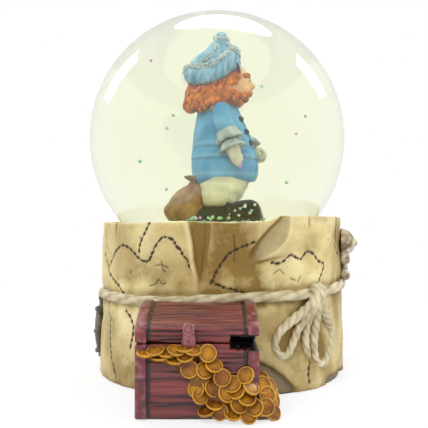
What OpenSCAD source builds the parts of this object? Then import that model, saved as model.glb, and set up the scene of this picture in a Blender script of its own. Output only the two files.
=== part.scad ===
// Musical snow globe: a water-filled glass ball with a pirate figure, on a cast base shaped like a
// rolled treasure map tied with rope, with a treasure chest in front and a wind-up movement inside.
// Origin: where the ball's axis meets the table. +Z is up and -Y is the front. Millimetres.

/* [Globe] */
// Outside diameter of the glass ball
globe_d = 100; // [88:1:106]
// Thickness of the glass
glass_t = 2; // [1.4:0.1:3]
// Height of the ball's centre above the base's rim, for a ball of the usual size
globe_rise = 32.5; // [29:0.5:36]
// Outside diameter of the glass neck
neck_d = 60; // [56:1:62]
// Length of the neck below the ball
neck_len = 7; // [5:0.5:8]
// How far the bead at the mouth of the neck stands out
bead_out = 1.5; // [1:0.1:2]

/* [Stopper] */
// Thickness of the stopper's flange
flange_t = 3; // [2:0.5:4]
// Height of the stopper's plug above its flange
plug_h = 9; // [7:0.5:11]
// Height of the modelled ground above the plug
ground_h = 12.5; // [11:0.5:15]
// Radius of the flat top of the ground
ground_r = 17; // [16.6:0.2:20]

/* [Base] */
// Height of the base's rim above the table
base_h = 58; // [56:1:66]
// Outside diameter of the base
base_d = 93.2; // [91:0.2:104]
// How far the outside of the base is cast off the ball's axis, to the right
base_shift = 1.9; // [0:0.1:2.5]
// Thickness of the map sheet that wraps the base
sheet_t = 2.2; // [1.5:0.1:2.6]
// Thickness of the web under the stopper
web_t = 3; // [2:0.5:4]
// Inside diameter of the chamber for the movement
chamber_d = 75; // [74:0.5:77]
// Depth of the recess that hides the key
key_recess = 10; // [10:0.5:11.5]
// Thickness of the felt
felt_t = 1.2; // [0.8:0.1:2]

/* [Rope] */
// Diameter of the rope
rope_d = 4.2; // [3:0.1:5]
// Height of the rope's middle on the ball's axis
rope_z = 32.5; // [28:0.5:36]
// Slope of the rope round the base, in degrees
rope_tilt = 2.3; // [0:0.1:4]

/* [Chest] */
// Width of the chest
chest_w = 36.7; // [30:0.5:42]
// Height of the chest's body, above the table
chest_h = 22.5; // [20:0.5:24]
// How far the chest stands out in front of the base
chest_out = 25.4; // [20:0.2:32]
// Height of the lid at its back edge
lid_h = 9; // [7:0.2:11]
// Width of the iron straps
strap_w = 3.6; // [2.5:0.1:5]
// Thickness of the iron straps
strap_t = 0.8; // [0.5:0.1:1.2]
// Diameter of a coin
coin_d = 5.3; // [4:0.1:6]
// Thickness of a coin
coin_t = 0.9; // [0.6:0.1:1.4]

/* [Figure] */
// Height of the figure, from the ground to the tip of the hat
figure_h = 55.6; // [48:0.2:58]

/* [Movement] */
// Distance of the key's axis from the ball's axis
key_off = 15; // [14.6:0.1:16]
// Radius of the winding arbor
arbor_r = 1.6; // [1.3:0.1:2]
// Width of the key across its wings
key_w = 20; // [16:0.5:24]
// Radius of the spring housing
barrel_r = 11.4; // [10.5:0.1:12]
// Height of the spring housing
barrel_h = 6; // [5:0.5:6.5]
// Number of teeth on the arbor's crown wheel
crown_n = 30; // [30:1:30]
// Number of teeth on the drum's pinion
pinion_n = 12; // [12:1:12]
// Number of teeth on the drum's wheel
wheel_n = 36; // [36:1:36]
// Number of teeth on the lay shaft's pinion
lay_n = 10; // [10:1:10]
// Number of teeth on the worm wheel
worm_wheel_n = 20; // [20:1:20]
// Radius of the pinned drum
drum_r = 6.2; // [5.8:0.1:6.6]
// Length of the pinned drum
drum_len = 18; // [16:1:18]
// Number of notes on the comb
notes = 18; // [12:1:18]

/* [Fits] */
// Clearance of parts that are cemented or screwed together
seat_gap = 0.05; // [0.03:0.01:0.15]
// Radial clearance of a shaft in its bearing
run_gap = 0.05; // [0.03:0.01:0.08]
// Thickness of the cement between ball and base
cement_t = 0.6; // [0.3:0.1:1]

/* [Hidden] */
$fn = 64;
eps = 0.01;

// The ball, its neck and its stopper
globe_r = globe_d / 2;
neck_r = neck_d / 2;
shoulder_drop = 40;
shoulder_span = sqrt(pow(globe_r, 2) - pow(neck_r, 2));
globe_z = base_h + globe_rise + shoulder_span - shoulder_drop;
bore_r = globe_r - glass_t;
neck_bore = neck_r - glass_t;
neck_z = globe_z - shoulder_span - neck_len;
bead_t = 1.5;
flange_r = neck_r + bead_out;
plug_z = neck_z + plug_h;
ground_z = plug_z + ground_h;
ground_skirt_r = neck_bore - 1.5;
ground_skirt_h = 4;
figure_room_r = ground_r + 1.3;
figure_room_h = figure_h + 2.5;

// The base
base_r = base_d / 2;
core_r = base_r - sheet_t;
seat_r = globe_r + cement_t;
socket_r = flange_r + 0.8;
web_z = neck_z - flange_t - web_t;
plate_t = 2.5;
plate_z = key_recess;
plate_r = chamber_d / 2 + 2;
recess_r = plate_r + 0.3;
boss_r = 4;
boss_pitch_r = chamber_d / 2 - 3;
boss_angles = [60, 180, 300];
fold_from = -11;
fold_to = 20;
rope_ring_r = base_r + 0.5;
bow_r = rope_d / 2 - 0.3;

// The chest
chest_x = -6.2;
chest_front = base_r + chest_out;
lid_gap = 0.3;
lid_arc_r = 52;
lid_crest = base_r + 3.4;
lid_z = chest_h + lid_gap;

// The movement, from the bottom plate up
frame_t = 2;
frame_z = plate_z + plate_t;
deck_z = frame_z + frame_t;
crown_r = 9.5;
crown_h = 1.6;
crown_pitch = 2 * PI * crown_r / crown_n;
mesh_depth = 0.75;
crown_web = 1;
crown_z = deck_z + barrel_h + 0.4 + crown_web;
pinion_r = pinion_n * crown_pitch / (2 * PI);
axis_z = crown_z + crown_h - mesh_depth + pinion_r;
mesh_x = crown_r - key_off;
shaft_r = 0.9;
post_t = 1.2;
post_a = 0;
drum_x = post_a + post_t + 0.8;
wheel_module = 0.45;
wheel_r = wheel_n * wheel_module / 2;
wheel_t = 1.4;
wheel_x = drum_x + drum_len + 1;
post_b = wheel_x + wheel_t + 1;
lay_y = (wheel_n + lay_n) * wheel_module / 2 + 0.05;
worm_module = 0.4;
worm_wheel_x = post_b + post_t + 1.4;
worm_wheel_t = 1.2;
worm_wheel_r = worm_wheel_n * worm_module / 2;
post_c = worm_wheel_x + worm_wheel_t + 1.4;
worm_x = worm_wheel_x + worm_wheel_t / 2;
worm_pitch_r = 1.15;
worm_pitch = PI * worm_module;
worm_y = lay_y + worm_wheel_r + worm_pitch_r;
worm_shaft_r = 0.5;
thread_len = 4.5;
fan_z = axis_z + worm_wheel_r + 1.2;
fan_r = 3.2;
fan_h = 2.6;
arm_z = fan_z + fan_h + 0.4;
pin_out = 0.5;
comb_y = drum_r + pin_out + 0.15;
comb_back = comb_y + 13;
comb_t = 1;
comb_ledge = 4.6;
note_pitch = drum_len / notes;
screw_r = 1.2;
screw_head_r = 2.4;
screw_head_h = 1.5;
frame_screws = [[-25, 14], [-25, -14], [14, 15.5]];
comb_screw_x = [0.2, 0.5, 0.8];

// ---- shared shapes ----

// A ring or disc standing at height z
module tube(r, h, bore = 0, z = 0) {
    translate([0, 0, z]) difference() {
        cylinder(r = r, h = h);
        if (bore > 0) translate([0, 0, -eps]) cylinder(r = bore, h = h + 2 * eps);
    }
}

// A bar or cone between two points
module rod(from, to, r1, r2) {
    d = to - from;
    translate(from)
        rotate([0, acos(d.z / norm(d)), atan2(d.y, d.x)])
            cylinder(r1 = r1, r2 = r2, h = norm(d));
}

// A slice of a disc; angles are measured from the front (-Y) towards the right (+X)
module sector(r, from, to) {
    far = 2 * r;
    step = (to - from) / 4;
    intersection() {
        circle(r);
        polygon(concat([[0, 0]], [for (i = [0:4]) far * [sin(from + i * step), -cos(from + i * step)]]));
    }
}

// A toothed disc: teeth taper from root to tip, and the first tooth points along +X
module toothed(n, r, addendum, dedendum, root_w, tip_w, h) {
    linear_extrude(h) polygon([
        for (i = [0:n - 1], c = [[r - dedendum, -root_w], [r + addendum, -tip_w],
                                 [r + addendum, tip_w], [r - dedendum, root_w]])
            let (a = i * 360 / n, x = c[0], y = c[1] / 2)
                [x * cos(a) - y * sin(a), x * sin(a) + y * cos(a)]
    ]);
}

// A screw that points up, with its head below z
module screw_up(z, length) {
    translate([0, 0, z]) cylinder(r = screw_r, h = length);
    translate([0, 0, z - screw_head_h]) difference() {
        cylinder(r = screw_head_r, h = screw_head_h);
        translate([-screw_head_r, -0.3, -eps]) cube([2 * screw_head_r, 0.6, 0.5]);
    }
}

// ---- the globe ----

// A ball with a neck below it; the ball ends where the neck begins
module ball_space(r, neck, bottom) {
    shoulder = globe_z - sqrt(pow(r, 2) - pow(neck, 2));
    intersection() {
        translate([0, 0, globe_z]) sphere(r, $fn = 96);
        translate([0, 0, shoulder]) cylinder(r = r + 1, h = 2 * r);
    }
    translate([0, 0, bottom]) cylinder(r = neck, h = globe_z - bottom);
}

module glass_globe() {
    color([0.9, 1, 0.97, 0.3]) difference() {
        union() {
            ball_space(globe_r, neck_r, neck_z);
            tube(neck_r + bead_out, bead_t, 0, neck_z);
        }
        ball_space(bore_r, neck_bore, neck_z - 1);
    }
}

module figure_room() {
    translate([0, 0, ground_z - eps]) cylinder(r = figure_room_r, h = figure_room_h);
}

module liquid_fill() {
    color([0.95, 0.98, 0.8, 0.3]) difference() {
        ball_space(bore_r - seat_gap, neck_bore - seat_gap, plug_z + seat_gap);
        translate([0, 0, neck_z]) cylinder(r = neck_bore, h = plug_h + seat_gap);
        ground_shape(seat_gap);
        figure_room();
    }
}

module rubber_stopper() {
    color("dimgray") union() {
        tube(flange_r, flange_t, 0, neck_z - flange_t);
        tube(neck_bore - seat_gap, plug_h + eps, 0, neck_z - eps);
    }
}

module globe_cement() {
    height = 4;
    color("ivory") intersection() {
        difference() {
            translate([0, 0, globe_z]) sphere(seat_r - seat_gap, $fn = 96);
            translate([0, 0, globe_z]) sphere(globe_r + seat_gap, $fn = 96);
        }
        translate([0, 0, base_h - height - 1]) cylinder(r = base_r, h = height);
    }
}

// The modelled ground: a skirt on the plug and a cone up to the flat top
module ground_shape(grow) {
    translate([0, 0, plug_z]) cylinder(r = ground_skirt_r + grow, h = ground_skirt_h);
    translate([0, 0, plug_z + ground_skirt_h - eps])
        cylinder(r1 = ground_skirt_r + grow, r2 = ground_r + grow, h = ground_h - ground_skirt_h + eps);
}

module scene_ground() {
    color("linen") ground_shape(0);
}

module glitter_flakes() {
    flakes = 12;
    flake_ring = ground_r - 1.1;
    color("violet") for (i = [0:flakes - 1])
        rotate(i * 360 / flakes + 7 * (i % 3))
            translate([flake_ring, 0, ground_z])
                rotate(17 * i) cylinder(r = 0.8, h = 0.2, $fn = 6);
}

// ---- the figure: lengths below are for a 55.6 mm figure, and scale with figure_h ----

module figure() {
    translate([2, 0, ground_z]) scale(figure_h / 55.6) children();
}

module boot_shape() {
    for (side = [-1, 1]) translate([0, side * 4, 0]) {
        rod([-6.2, 0, 2.2], [7.5, 0, 2.8], 2.4, 3.3);
        translate([7.2, 0, 2.9]) sphere(3.7, $fn = 48);
        translate([-5.8, 0, 1.9]) sphere(2.7, $fn = 48);
    }
}

module pirate_boots() {
    color("darkslategray") figure() intersection() {
        boot_shape();
        translate([-20, -20, 0]) cube([40, 40, 20]);
    }
}

module pirate_trousers() {
    color("wheat") figure() difference() {
        for (side = [-1, 1]) rod([-0.8, side * 4, 2.5], [0.2, side * 3.4, coat_low], 3.5, 4.6);
        boot_shape();
        coat_shape();
    }
}

coat_low = 12.4;
coat_high = 35;

module coat_shape() {
    rotate_extrude() polygon([[0, coat_low], [8.9, coat_low], [9.4, 15.5], [9.9, 19], [9.6, 23],
                              [8.3, 28], [6.4, 32.5], [4.4, coat_high], [0, coat_high]]);
}

module pirate_coat() {
    color("steelblue") figure() coat_shape();
}

module coat_buttons() {
    color("darkslategray") figure() difference() {
        for (b = [[8.9, 30], [10, 26.4], [10.4, 22.4]])
            translate([b[0] - 1, 0, b[1]]) sphere(1, $fn = 32);
        coat_shape();
    }
}

right_shoulder = [0.6, -6.6, 33];
right_elbow = [1.9, -9.8, 26.4];
right_wrist = [3.6, -10.3, 20];
left_shoulder = [2.4, 6.4, 33];
left_elbow = [6, 9.8, 26];
left_wrist = [9.4, 7.6, 21.6];

module sleeve_shape() {
    rod(right_shoulder, right_elbow, 2.8, 3.1);
    translate(right_shoulder) sphere(2.9, $fn = 48);
    rod(left_shoulder, left_elbow, 2.8, 3);
    translate(left_shoulder) sphere(2.9, $fn = 48);
}

module cuff_shape() {
    middle = (right_elbow + right_wrist) / 2;
    rod(right_elbow, middle, 3.5, 2.9);
    rod(middle + 0.08 * (right_elbow - right_wrist), right_wrist, 3.4, 2.6);
    rod(left_elbow, left_wrist, 3.4, 2.7);
}

module pirate_sleeves() {
    color("cornflowerblue") figure() difference() {
        sleeve_shape();
        coat_shape();
        hair_shape();
        cuff_shape();
    }
}

module pirate_cuffs() {
    color("lightgray") figure() difference() {
        cuff_shape();
        coat_shape();
    }
}

module pirate_hands() {
    color("peachpuff") figure() difference() {
        union() {
            rod(right_wrist, right_wrist + [1.2, -0.2, -4.2], 1.9, 1.2);
            translate(left_wrist + [2.4, -0.8, -1]) sphere(2.2, $fn = 48);
        }
        cuff_shape();
        coat_shape();
    }
}

module head_shape() {
    translate([1.6, 0, 41]) sphere(5.6, $fn = 48);
}

module pirate_head() {
    color("peachpuff") figure() difference() {
        union() {
            head_shape();
            translate([7, 0, 41.8]) sphere(1.5, $fn = 32);
        }
        coat_shape();
        hat_shape();
    }
}

module hair_shape() {
    translate([-3, 0, 38.4]) sphere(7.1, $fn = 48);
    translate([2.6, 0, 37]) sphere(5.5, $fn = 48);
}

module pirate_hair() {
    color("chocolate") figure() difference() {
        hair_shape();
        head_shape();
        coat_shape();
        hat_shape();
        translate([7, 0, 41.8]) sphere(1.5 + seat_gap, $fn = 32);
    }
}

hat_tip = 55.6;

module hat_shape() {
    translate([-2, 0, 43.6]) rotate([0, -4, 0]) {
        rotate_extrude() translate([7, 1.6]) circle(1.9, $fn = 32);
        cylinder(r = 7, h = 4);
        translate([0, 0, 3.9]) cylinder(r1 = 6.6, r2 = 1.4, h = hat_tip - 43.6 - 4.6);
        translate([0, 0, hat_tip - 43.6 - 1.6]) sphere(1.5, $fn = 32);
    }
}

module pirate_hat() {
    color("skyblue") figure() hat_shape();
}

module loot_sack() {
    color("tan") figure() difference() {
        union() {
            intersection() {
                translate([-11.2, -1, 5]) sphere(5.4, $fn = 48);
                translate([-20, -20, 0]) cube([40, 40, 20]);
            }
            rod([-9.8, -1, 8.8], [-7.2, -1, 13.2], 2.6, 1.2);
        }
        boot_shape();
        rod([-0.8, -4, 2.5], [0.2, -3.4, coat_low], 3.5, 4.6);
        coat_shape();
    }
}

// ---- the base ----

module on_base() {
    translate([base_shift, 0, 0]) children();
}

// The rope's ring, thicker by grow
module rope_ring(grow = 0) {
    on_base() translate([0, 0, rope_z + base_shift * tan(rope_tilt)]) rotate([0, -rope_tilt, 0])
        rotate_extrude($fn = 96) translate([rope_ring_r, 0]) circle(rope_d / 2 + grow, $fn = 32);
}

module map_base() {
    fold_z = rope_z + 4;
    corner = [24, 44];
    color("palegoldenrod") difference() {
        on_base() translate([0, 0, felt_t]) cylinder(r = base_r, h = base_h - felt_t, $fn = 96);
        // the sheet's fold above the chest, and its raised lower corner beside it
        on_base() translate([0, 0, fold_z]) linear_extrude(base_h) difference() {
            sector(base_r + 1, fold_from, fold_to);
            circle(core_r);
        }
        on_base() translate([0, 0, -1]) linear_extrude(felt_t + 7) difference() {
            sector(base_r + 1, corner[0], corner[1]);
            circle(core_r);
        }
        // the seat of the ball and the socket of its neck
        translate([0, 0, globe_z]) sphere(seat_r, $fn = 96);
        translate([0, 0, neck_z - flange_t]) cylinder(r = socket_r, h = base_h);
        // the movement's chamber, with three bosses for the plate's screws
        difference() {
            translate([0, 0, plate_z + plate_t]) cylinder(r = chamber_d / 2, h = web_z - plate_z - plate_t);
            for (a = boss_angles) rotate(a) translate([boss_pitch_r, 0, 0]) cylinder(r = boss_r, h = web_z + 1);
        }
        translate([0, 0, -1]) cylinder(r = recess_r, h = plate_z + plate_t + 1);
        for (a = boss_angles) rotate(a) translate([boss_pitch_r, 0, plate_z])
            cylinder(r = screw_r + seat_gap, h = plate_t + 7);
        rope_ring(seat_gap);
    }
}

module rope_band() {
    color("antiquewhite") rope_ring();
}

// Places children on the base's skin, facing outwards along +X
module facing_out(a, z) {
    on_base() rotate(a - 90) translate([base_r, 0, z]) children();
}

// A loop of the bow, drawn flat: a half ring round centre and two thinner strands up to the knot
module bow_loop(knot, centre, r) {
    turn = atan2(knot.y - centre.y, knot.x - centre.x);
    rotate([90, 0, 90]) translate([centre.x, centre.y, 0]) rotate(turn) {
        rotate([0, 0, 90]) rotate_extrude(angle = 180) translate([r, 0]) circle(bow_r, $fn = 32);
        for (side = [-1, 1])
            rod([-0.5, side * r, 0], [norm(knot - centre), side * 1.1, 1.2], bow_r - 0.15, bow_r - 0.3);
    }
}

module rope_bow() {
    knot_a = 42;
    knot_z = rope_z + 1;
    color("antiquewhite") difference() {
        union() {
            facing_out(knot_a - 13, 0) translate([bow_r + 0.3, 0, 0]) bow_loop([11, knot_z - 1], [-2, 17.5], 4.8);
            facing_out(knot_a + 8, 0) translate([bow_r + 0.3, 0, 0]) bow_loop([-6.6, knot_z - 1], [1.6, 11.6], 4.8);
            facing_out(knot_a - 3, 0) rod([bow_r + 0.6, 1.6, knot_z], [bow_r + 0.4, -1.2, 12], bow_r, bow_r);
            facing_out(knot_a, knot_z) translate([3.1, 0, 0]) sphere(3.4, $fn = 48);
        }
        rope_ring(seat_gap);
        on_base() cylinder(r = base_r + seat_gap, h = base_h, $fn = 96);
    }
}

module ship_wheel() {
    rim_r = 7.6;
    hub_r = 2.9;
    handle_r = 11.2;
    wheel_z = 16.5;
    color("dimgray") difference() {
        facing_out(-90, wheel_z) translate([1.5, 0, 0]) rotate([0, 90, 0]) {
            rotate_extrude() translate([rim_r, 0]) circle(1.25, $fn = 24);
            translate([0, 0, -1.2]) cylinder(r = hub_r, h = 2.6);
            for (a = [0:45:315]) rotate(a) {
                translate([hub_r - 0.7, 0, 0]) rotate([0, 90, 0]) cylinder(r = 0.75, h = handle_r - hub_r, $fn = 24);
                translate([handle_r, 0, 0]) sphere(1.2, $fn = 24);
            }
        }
        on_base() cylinder(r = base_r + seat_gap, h = base_h, $fn = 96);
    }
}

module skull_relief() {
    color("ivory") difference() {
        facing_out(84, 0) {
            translate([0.4, 0, 50]) sphere(5.4, $fn = 48);
            translate([0.2, 0, 45]) rotate([0, 0, 0]) cylinder(r = 3.4, h = 4, center = true);
            for (s = [-1, 1]) {
                rod([1.2, -s * 8, 44], [1.2, s * 8, 38], 1.5, 1.5);
                for (e = [-1, 1]) translate([1.2, s * 8.4, 41 + s * e * 3]) sphere(2, $fn = 32);
            }
        }
        facing_out(84, 0) for (s = [-1, 1]) translate([5, s * 2.1, 50]) sphere(1.5, $fn = 32);
        rope_ring(seat_gap);
        on_base() cylinder(r = base_r + seat_gap, h = base_h + 10, $fn = 96);
    }
}

module anchor_relief() {
    color("darkslategray") difference() {
        facing_out(104, 0) {
            rod([1.6, 0, 8], [1.6, 0, 25], 1.1, 1.1);
            rod([1.6, -5, 22.5], [1.6, 5, 22.5], 0.9, 0.9);
            translate([1.6, 0, 26.4]) rotate([0, 90, 0])
                rotate_extrude() translate([1.8, 0]) circle(0.6, $fn = 24);
            translate([1.6, 0, 15]) rotate([0, 90, 0]) rotate(-60)
                rotate_extrude(angle = 120) translate([8, 0]) circle(1.2, $fn = 24);
        }
        rope_ring(seat_gap);
        on_base() cylinder(r = base_r + seat_gap, h = base_h, $fn = 96);
    }
}

// ---- the chest ----

// Extrudes a profile drawn in Y and Z across the chest, from one X to another
module across(x0, x1) {
    translate([x0, 0, 0]) rotate([90, 0, 90]) linear_extrude(x1 - x0) children();
}

module body_profile(grow = 0) {
    translate([-chest_front - grow, felt_t]) square([chest_front, chest_h - felt_t]);
}

module lid_profile(grow = 0) {
    intersection() {
        translate([-chest_front - grow, lid_z]) square([chest_front, lid_h + grow]);
        translate([-lid_crest, lid_z + lid_h - lid_arc_r]) circle(lid_arc_r + grow, $fn = 128);
    }
}

// What the chest stands against: the base with its rope
module chest_back() {
    on_base() cylinder(r = base_r + seat_gap, h = base_h, $fn = 96);
    rope_ring(seat_gap);
    translate([-base_r, -base_r * 0.6, 0]) cube([2 * base_r, 2 * base_r, base_h]);
}

chest_x0 = chest_x - chest_w / 2;
chest_x1 = chest_x + chest_w / 2;
hole_w = 8.5;

module chest_body() {
    color("brown") difference() {
        across(chest_x0 + strap_t, chest_x1 - strap_t) body_profile(-strap_t);
        chest_back();
        translate([chest_x1 - hole_w, -chest_front - 1, chest_h - 1.6]) cube([hole_w, 5, 2]);
    }
}

module chest_lid() {
    color("firebrick") difference() {
        across(chest_x0 + strap_t, chest_x1 - strap_t) lid_profile(-strap_t);
        chest_back();
        translate([chest_x1 - hole_w, -chest_front - 1, lid_z - 1]) cube([hole_w, 5, 2.4]);
    }
}

module chest_straps() {
    color("maroon") difference() {
        union() {
            for (x = [chest_x0, chest_x1 - strap_w]) {
                across(x, x + strap_w) body_profile();
                across(x, x + strap_w) lid_profile();
            }
        }
        across(chest_x0 + strap_t - seat_gap, chest_x1 - strap_t + seat_gap) {
            body_profile(seat_gap - strap_t);
            lid_profile(seat_gap - strap_t);
        }
        chest_back();
        translate([chest_x1 - hole_w, -chest_front - 1, chest_h - 1.6]) cube([hole_w + 1, 5, 4]);
    }
}

module chest_hasp() {
    hasp_x = -12.4;
    color("indianred") difference() {
        translate([hasp_x, -chest_front + strap_t + 1, lid_z + 2]) rotate([90, 0, 0]) {
            translate([0, 3.6, 0]) cylinder(r = 1.9, h = 2.1);
            translate([-1.5, -1.6, 0]) cube([3, 5, 1.9]);
            translate([0, 3.6, 0]) cylinder(r = 0.8, h = 2.6);
        }
        across(chest_x0, chest_x1) {
            body_profile(seat_gap - strap_t);
            lid_profile(seat_gap - strap_t);
        }
    }
}

// Coins on the chest's front: [x, height, lean, turn] of each, and on the heap beside the chest
front_coins = [
    [-21.6, 20.2, 10, 10], [-17.4, 20.8, 6, 40], [-13.4, 19.6, 13, -20], [-9.2, 18.4, 8, 25],
    [-10.6, 14.6, 16, 70], [-5.6, 15.6, 5, -30], [-7.6, 10.6, 12, 40], [-2.2, 12.2, 9, 180],
    [-3.8, 7.2, 14, -60], [2.2, 9.2, 7, 120], [-0.6, 3.4, 11, -20], [4.6, 4.4, 17, 90], [7.2, 8.6, 10, 30]
];
side_coins = [[15, -69, 4.6, 20], [16.4, -64.6, 8.4, 60], [15.4, -67.4, 9.6, 100], [17, -61, 4.2, 140]];
heap_lumps = [[-20.6, 20, 2.4], [-15.4, 19.2, 3], [-10, 16.4, 4.2], [-5.6, 11.4, 5.2], [0.6, 7.4, 6.2], [6.4, 5.6, 5.6]];

module coin() {
    cylinder(r = coin_d / 2, h = coin_t, center = true, $fn = 32);
}

module coin_heap() {
    color("goldenrod") difference() {
        union() {
            for (l = heap_lumps) translate([l[0], -chest_front + l[2] * 0.55, l[1]]) sphere(l[2], $fn = 48);
            for (i = [0:len(front_coins) - 1]) let (c = front_coins[i])
                translate([c[0], -chest_front - 1.1 - 0.07 * i, c[1]])
                    rotate([90 - c[2] / 2, 0, c[3] / 12]) rotate([0, 0, c[3]]) coin();
            translate([12, -chest_front + 6.4, 2]) sphere(7.2, $fn = 48);
            for (c = side_coins) translate([c[0], c[1] - chest_front + 72, c[2]]) rotate([0, 50, c[3] / 4 - 40]) coin();
        }
        across(chest_x0 - seat_gap, chest_x1 + seat_gap) {
            body_profile(seat_gap);
            lid_profile(seat_gap);
            translate([-chest_front - seat_gap, -1]) square([chest_front, felt_t + 2]);
        }
        chest_hasp_space();
        on_base() cylinder(r = base_r + seat_gap, h = base_h, $fn = 96);
        translate([-50, -100, -10]) cube([100, 100, 10]);
    }
}

module chest_hasp_space() {
    translate([-12.4 - 2.1, -chest_front - 3, lid_z - 0.2]) cube([4.2, 3.2, 9]);
}

module felt_pads() {
    inset = 0.8;
    color("darkgreen") union() {
        on_base() tube(base_r - inset, felt_t - seat_gap, recess_r + base_shift + 0.2);
        translate([chest_x0 + 2, -chest_front + 2, 0]) cube([chest_w - 4, chest_out - 5, felt_t - seat_gap]);
    }
}

// ---- the underside ----

module at_key() {
    translate([-key_off, 0, 0]) children();
}

module bottom_plate() {
    sound_holes = 7;
    color("black") difference() {
        tube(plate_r, plate_t - seat_gap, 0, plate_z);
        at_key() translate([0, 0, plate_z - 1]) cylinder(r = 4, h = plate_t + 2);
        for (a = boss_angles) rotate(a) translate([boss_pitch_r, 0, plate_z - 1])
            cylinder(r = screw_r + 0.3, h = plate_t + 2);
        for (p = frame_screws) translate([p[0], p[1], plate_z - 1]) cylinder(r = screw_r + 0.3, h = plate_t + 2);
        for (i = [0:sound_holes - 1]) translate([-2 + 4.5 * i, -24, plate_z - 1]) cylinder(r = 1.2, h = plate_t + 2);
    }
}

module plate_screws() {
    color("silver") for (a = boss_angles) rotate(a) translate([boss_pitch_r, 0, 0])
        screw_up(plate_z - seat_gap, plate_t + 6);
}

// ---- the movement ----

module frame_outline() {
    intersection() {
        circle(chamber_d / 2 - 1, $fn = 96);
        translate([-29.5, -comb_back]) square([60.5, comb_back + 21.5]);
    }
}

// An upright plate across X, with a bearing for the drum's shaft or the lay shaft
module post(x, y0, y1, top, holes) {
    difference() {
        translate([x, y0, deck_z - eps]) cube([post_t, y1 - y0, top - deck_z]);
        for (h = holes) translate([x - 1, h[0], axis_z]) rotate([0, 90, 0])
            cylinder(r = h[1] + run_gap, h = post_t + 2, $fn = 32);
    }
}

module movement_frame() {
    top = axis_z + 3;
    color("silver") union() {
        difference() {
            translate([0, 0, frame_z]) linear_extrude(frame_t) frame_outline();
            at_key() translate([0, 0, frame_z - 1]) cylinder(r = arbor_r + run_gap, h = frame_t + 2);
            translate([worm_x, worm_y, frame_z - 1]) cylinder(r = worm_shaft_r + run_gap, h = frame_t + 2, $fn = 32);
            for (p = frame_screws) translate([p[0], p[1], frame_z - 1])
                cylinder(r = screw_r + seat_gap, h = frame_t + 2);
        }
        post(post_a, -4, 4, top, [[0, shaft_r]]);
        post(post_b, -4, lay_y + 3, top, [[0, shaft_r], [lay_y, worm_shaft_r]]);
        post(post_c, lay_y - 3, lay_y + 2.2, top, [[lay_y, worm_shaft_r]]);
        difference() {
            translate([drum_x, -comb_back, deck_z - eps]) cube([drum_len, comb_ledge, axis_z - comb_t / 2 - deck_z]);
            for (s = comb_screw_x) translate([drum_x + s * drum_len, -comb_back + comb_ledge / 2, deck_z + 2])
                cylinder(r = 0.7 + seat_gap, h = axis_z, $fn = 32);
        }
    }
}

module movement_screws() {
    color("silver") for (p = frame_screws) translate([p[0], p[1], 0]) screw_up(plate_z - seat_gap, plate_t + frame_t);
}

module comb() {
    bar = 5;
    tooth_w = 0.68;
    color("lightsteelblue") difference() {
        translate([drum_x, 0, axis_z - comb_t / 2 + seat_gap]) union() {
            translate([0, -comb_back, 0]) cube([drum_len, bar, comb_t]);
            for (i = [0:notes - 1]) translate([(i + 0.5) * note_pitch - tooth_w / 2, -comb_back + bar - eps, 0.2])
                cube([tooth_w, comb_back - bar - comb_y, 0.5]);
        }
        for (s = comb_screw_x) translate([drum_x + s * drum_len, -comb_back + comb_ledge / 2, axis_z - 2])
            cylinder(r = 0.8, h = 4, $fn = 32);
    }
}

module comb_screws() {
    head_z = axis_z + comb_t / 2 + 2 * seat_gap;
    color("silver") for (s = comb_screw_x)
        translate([drum_x + s * drum_len, -comb_back + comb_ledge / 2, 0]) {
            translate([0, 0, head_z - 4]) cylinder(r = 0.7, h = 4 + eps, $fn = 32);
            translate([0, 0, head_z]) cylinder(r = 1.5, h = 0.9, $fn = 32);
        }
}

module governor_bracket() {
    post_y = worm_y + 3.8;
    color("gainsboro") difference() {
        union() {
            translate([worm_x - 2, post_y, deck_z + seat_gap]) cube([4, 1.4, arm_z + 1.2 - deck_z]);
            translate([worm_x - 2, worm_y, arm_z]) cube([4, 4, 1.2 + seat_gap]);
            translate([worm_x, worm_y, arm_z]) cylinder(r = 2, h = 1.2 + seat_gap);
            translate([worm_x - 3, post_y - 1, deck_z + seat_gap]) cube([6, 2.4, 1]);
        }
        translate([worm_x, worm_y, arm_z - 1]) cylinder(r = worm_shaft_r + run_gap, h = 4, $fn = 32);
    }
}

// A closed can on the frame; the arbor turns in its lid
module spring_housing() {
    wall = 1;
    at_key() color("gainsboro") difference() {
        tube(barrel_r, barrel_h, 0, deck_z + seat_gap);
        tube(barrel_r - wall, barrel_h - 2 * wall, 0, deck_z + seat_gap + wall);
        translate([0, 0, deck_z]) cylinder(r = arbor_r + 0.3, h = barrel_h - wall);
        translate([0, 0, deck_z]) cylinder(r = arbor_r + run_gap, h = barrel_h + 1);
    }
}

module winding_arbor() {
    at_key() color("silver") tube(arbor_r, crown_z + crown_h - plate_z + 1, 0, plate_z - 1);
}

// A disc on the arbor whose teeth stand up along its edge
module crown_wheel() {
    rim_in = crown_r - 1.6;
    at_key() color("goldenrod") union() {
        tube(crown_r + 0.4, crown_web, arbor_r + seat_gap, crown_z - crown_web);
        difference() {
            translate([0, 0, crown_z - eps]) toothed(crown_n, crown_r, 1.4, 1, 0.65, 0.65, crown_h + eps);
            translate([0, 0, crown_z - 1]) cylinder(r = rim_in, h = 5);
        }
    }
}

// A flat spiral strip from the arbor to the barrel's wall
module mainspring() {
    turns = 6;
    steps = 20 * turns;
    strip = 0.35;
    from = arbor_r + 0.5;
    to = barrel_r - 1.6;
    function spiral(i, off) =
        let (a = i * 360 * turns / steps, r = from + (to - from) * i / steps + off) [r * cos(a), r * sin(a)];
    at_key() color("slategray") translate([0, 0, deck_z + 1.2]) linear_extrude(barrel_h - 2.4)
        polygon(concat([for (i = [0:steps]) spiral(i, 0)], [for (i = [steps:-1:0]) spiral(i, strip)]));
}

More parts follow.
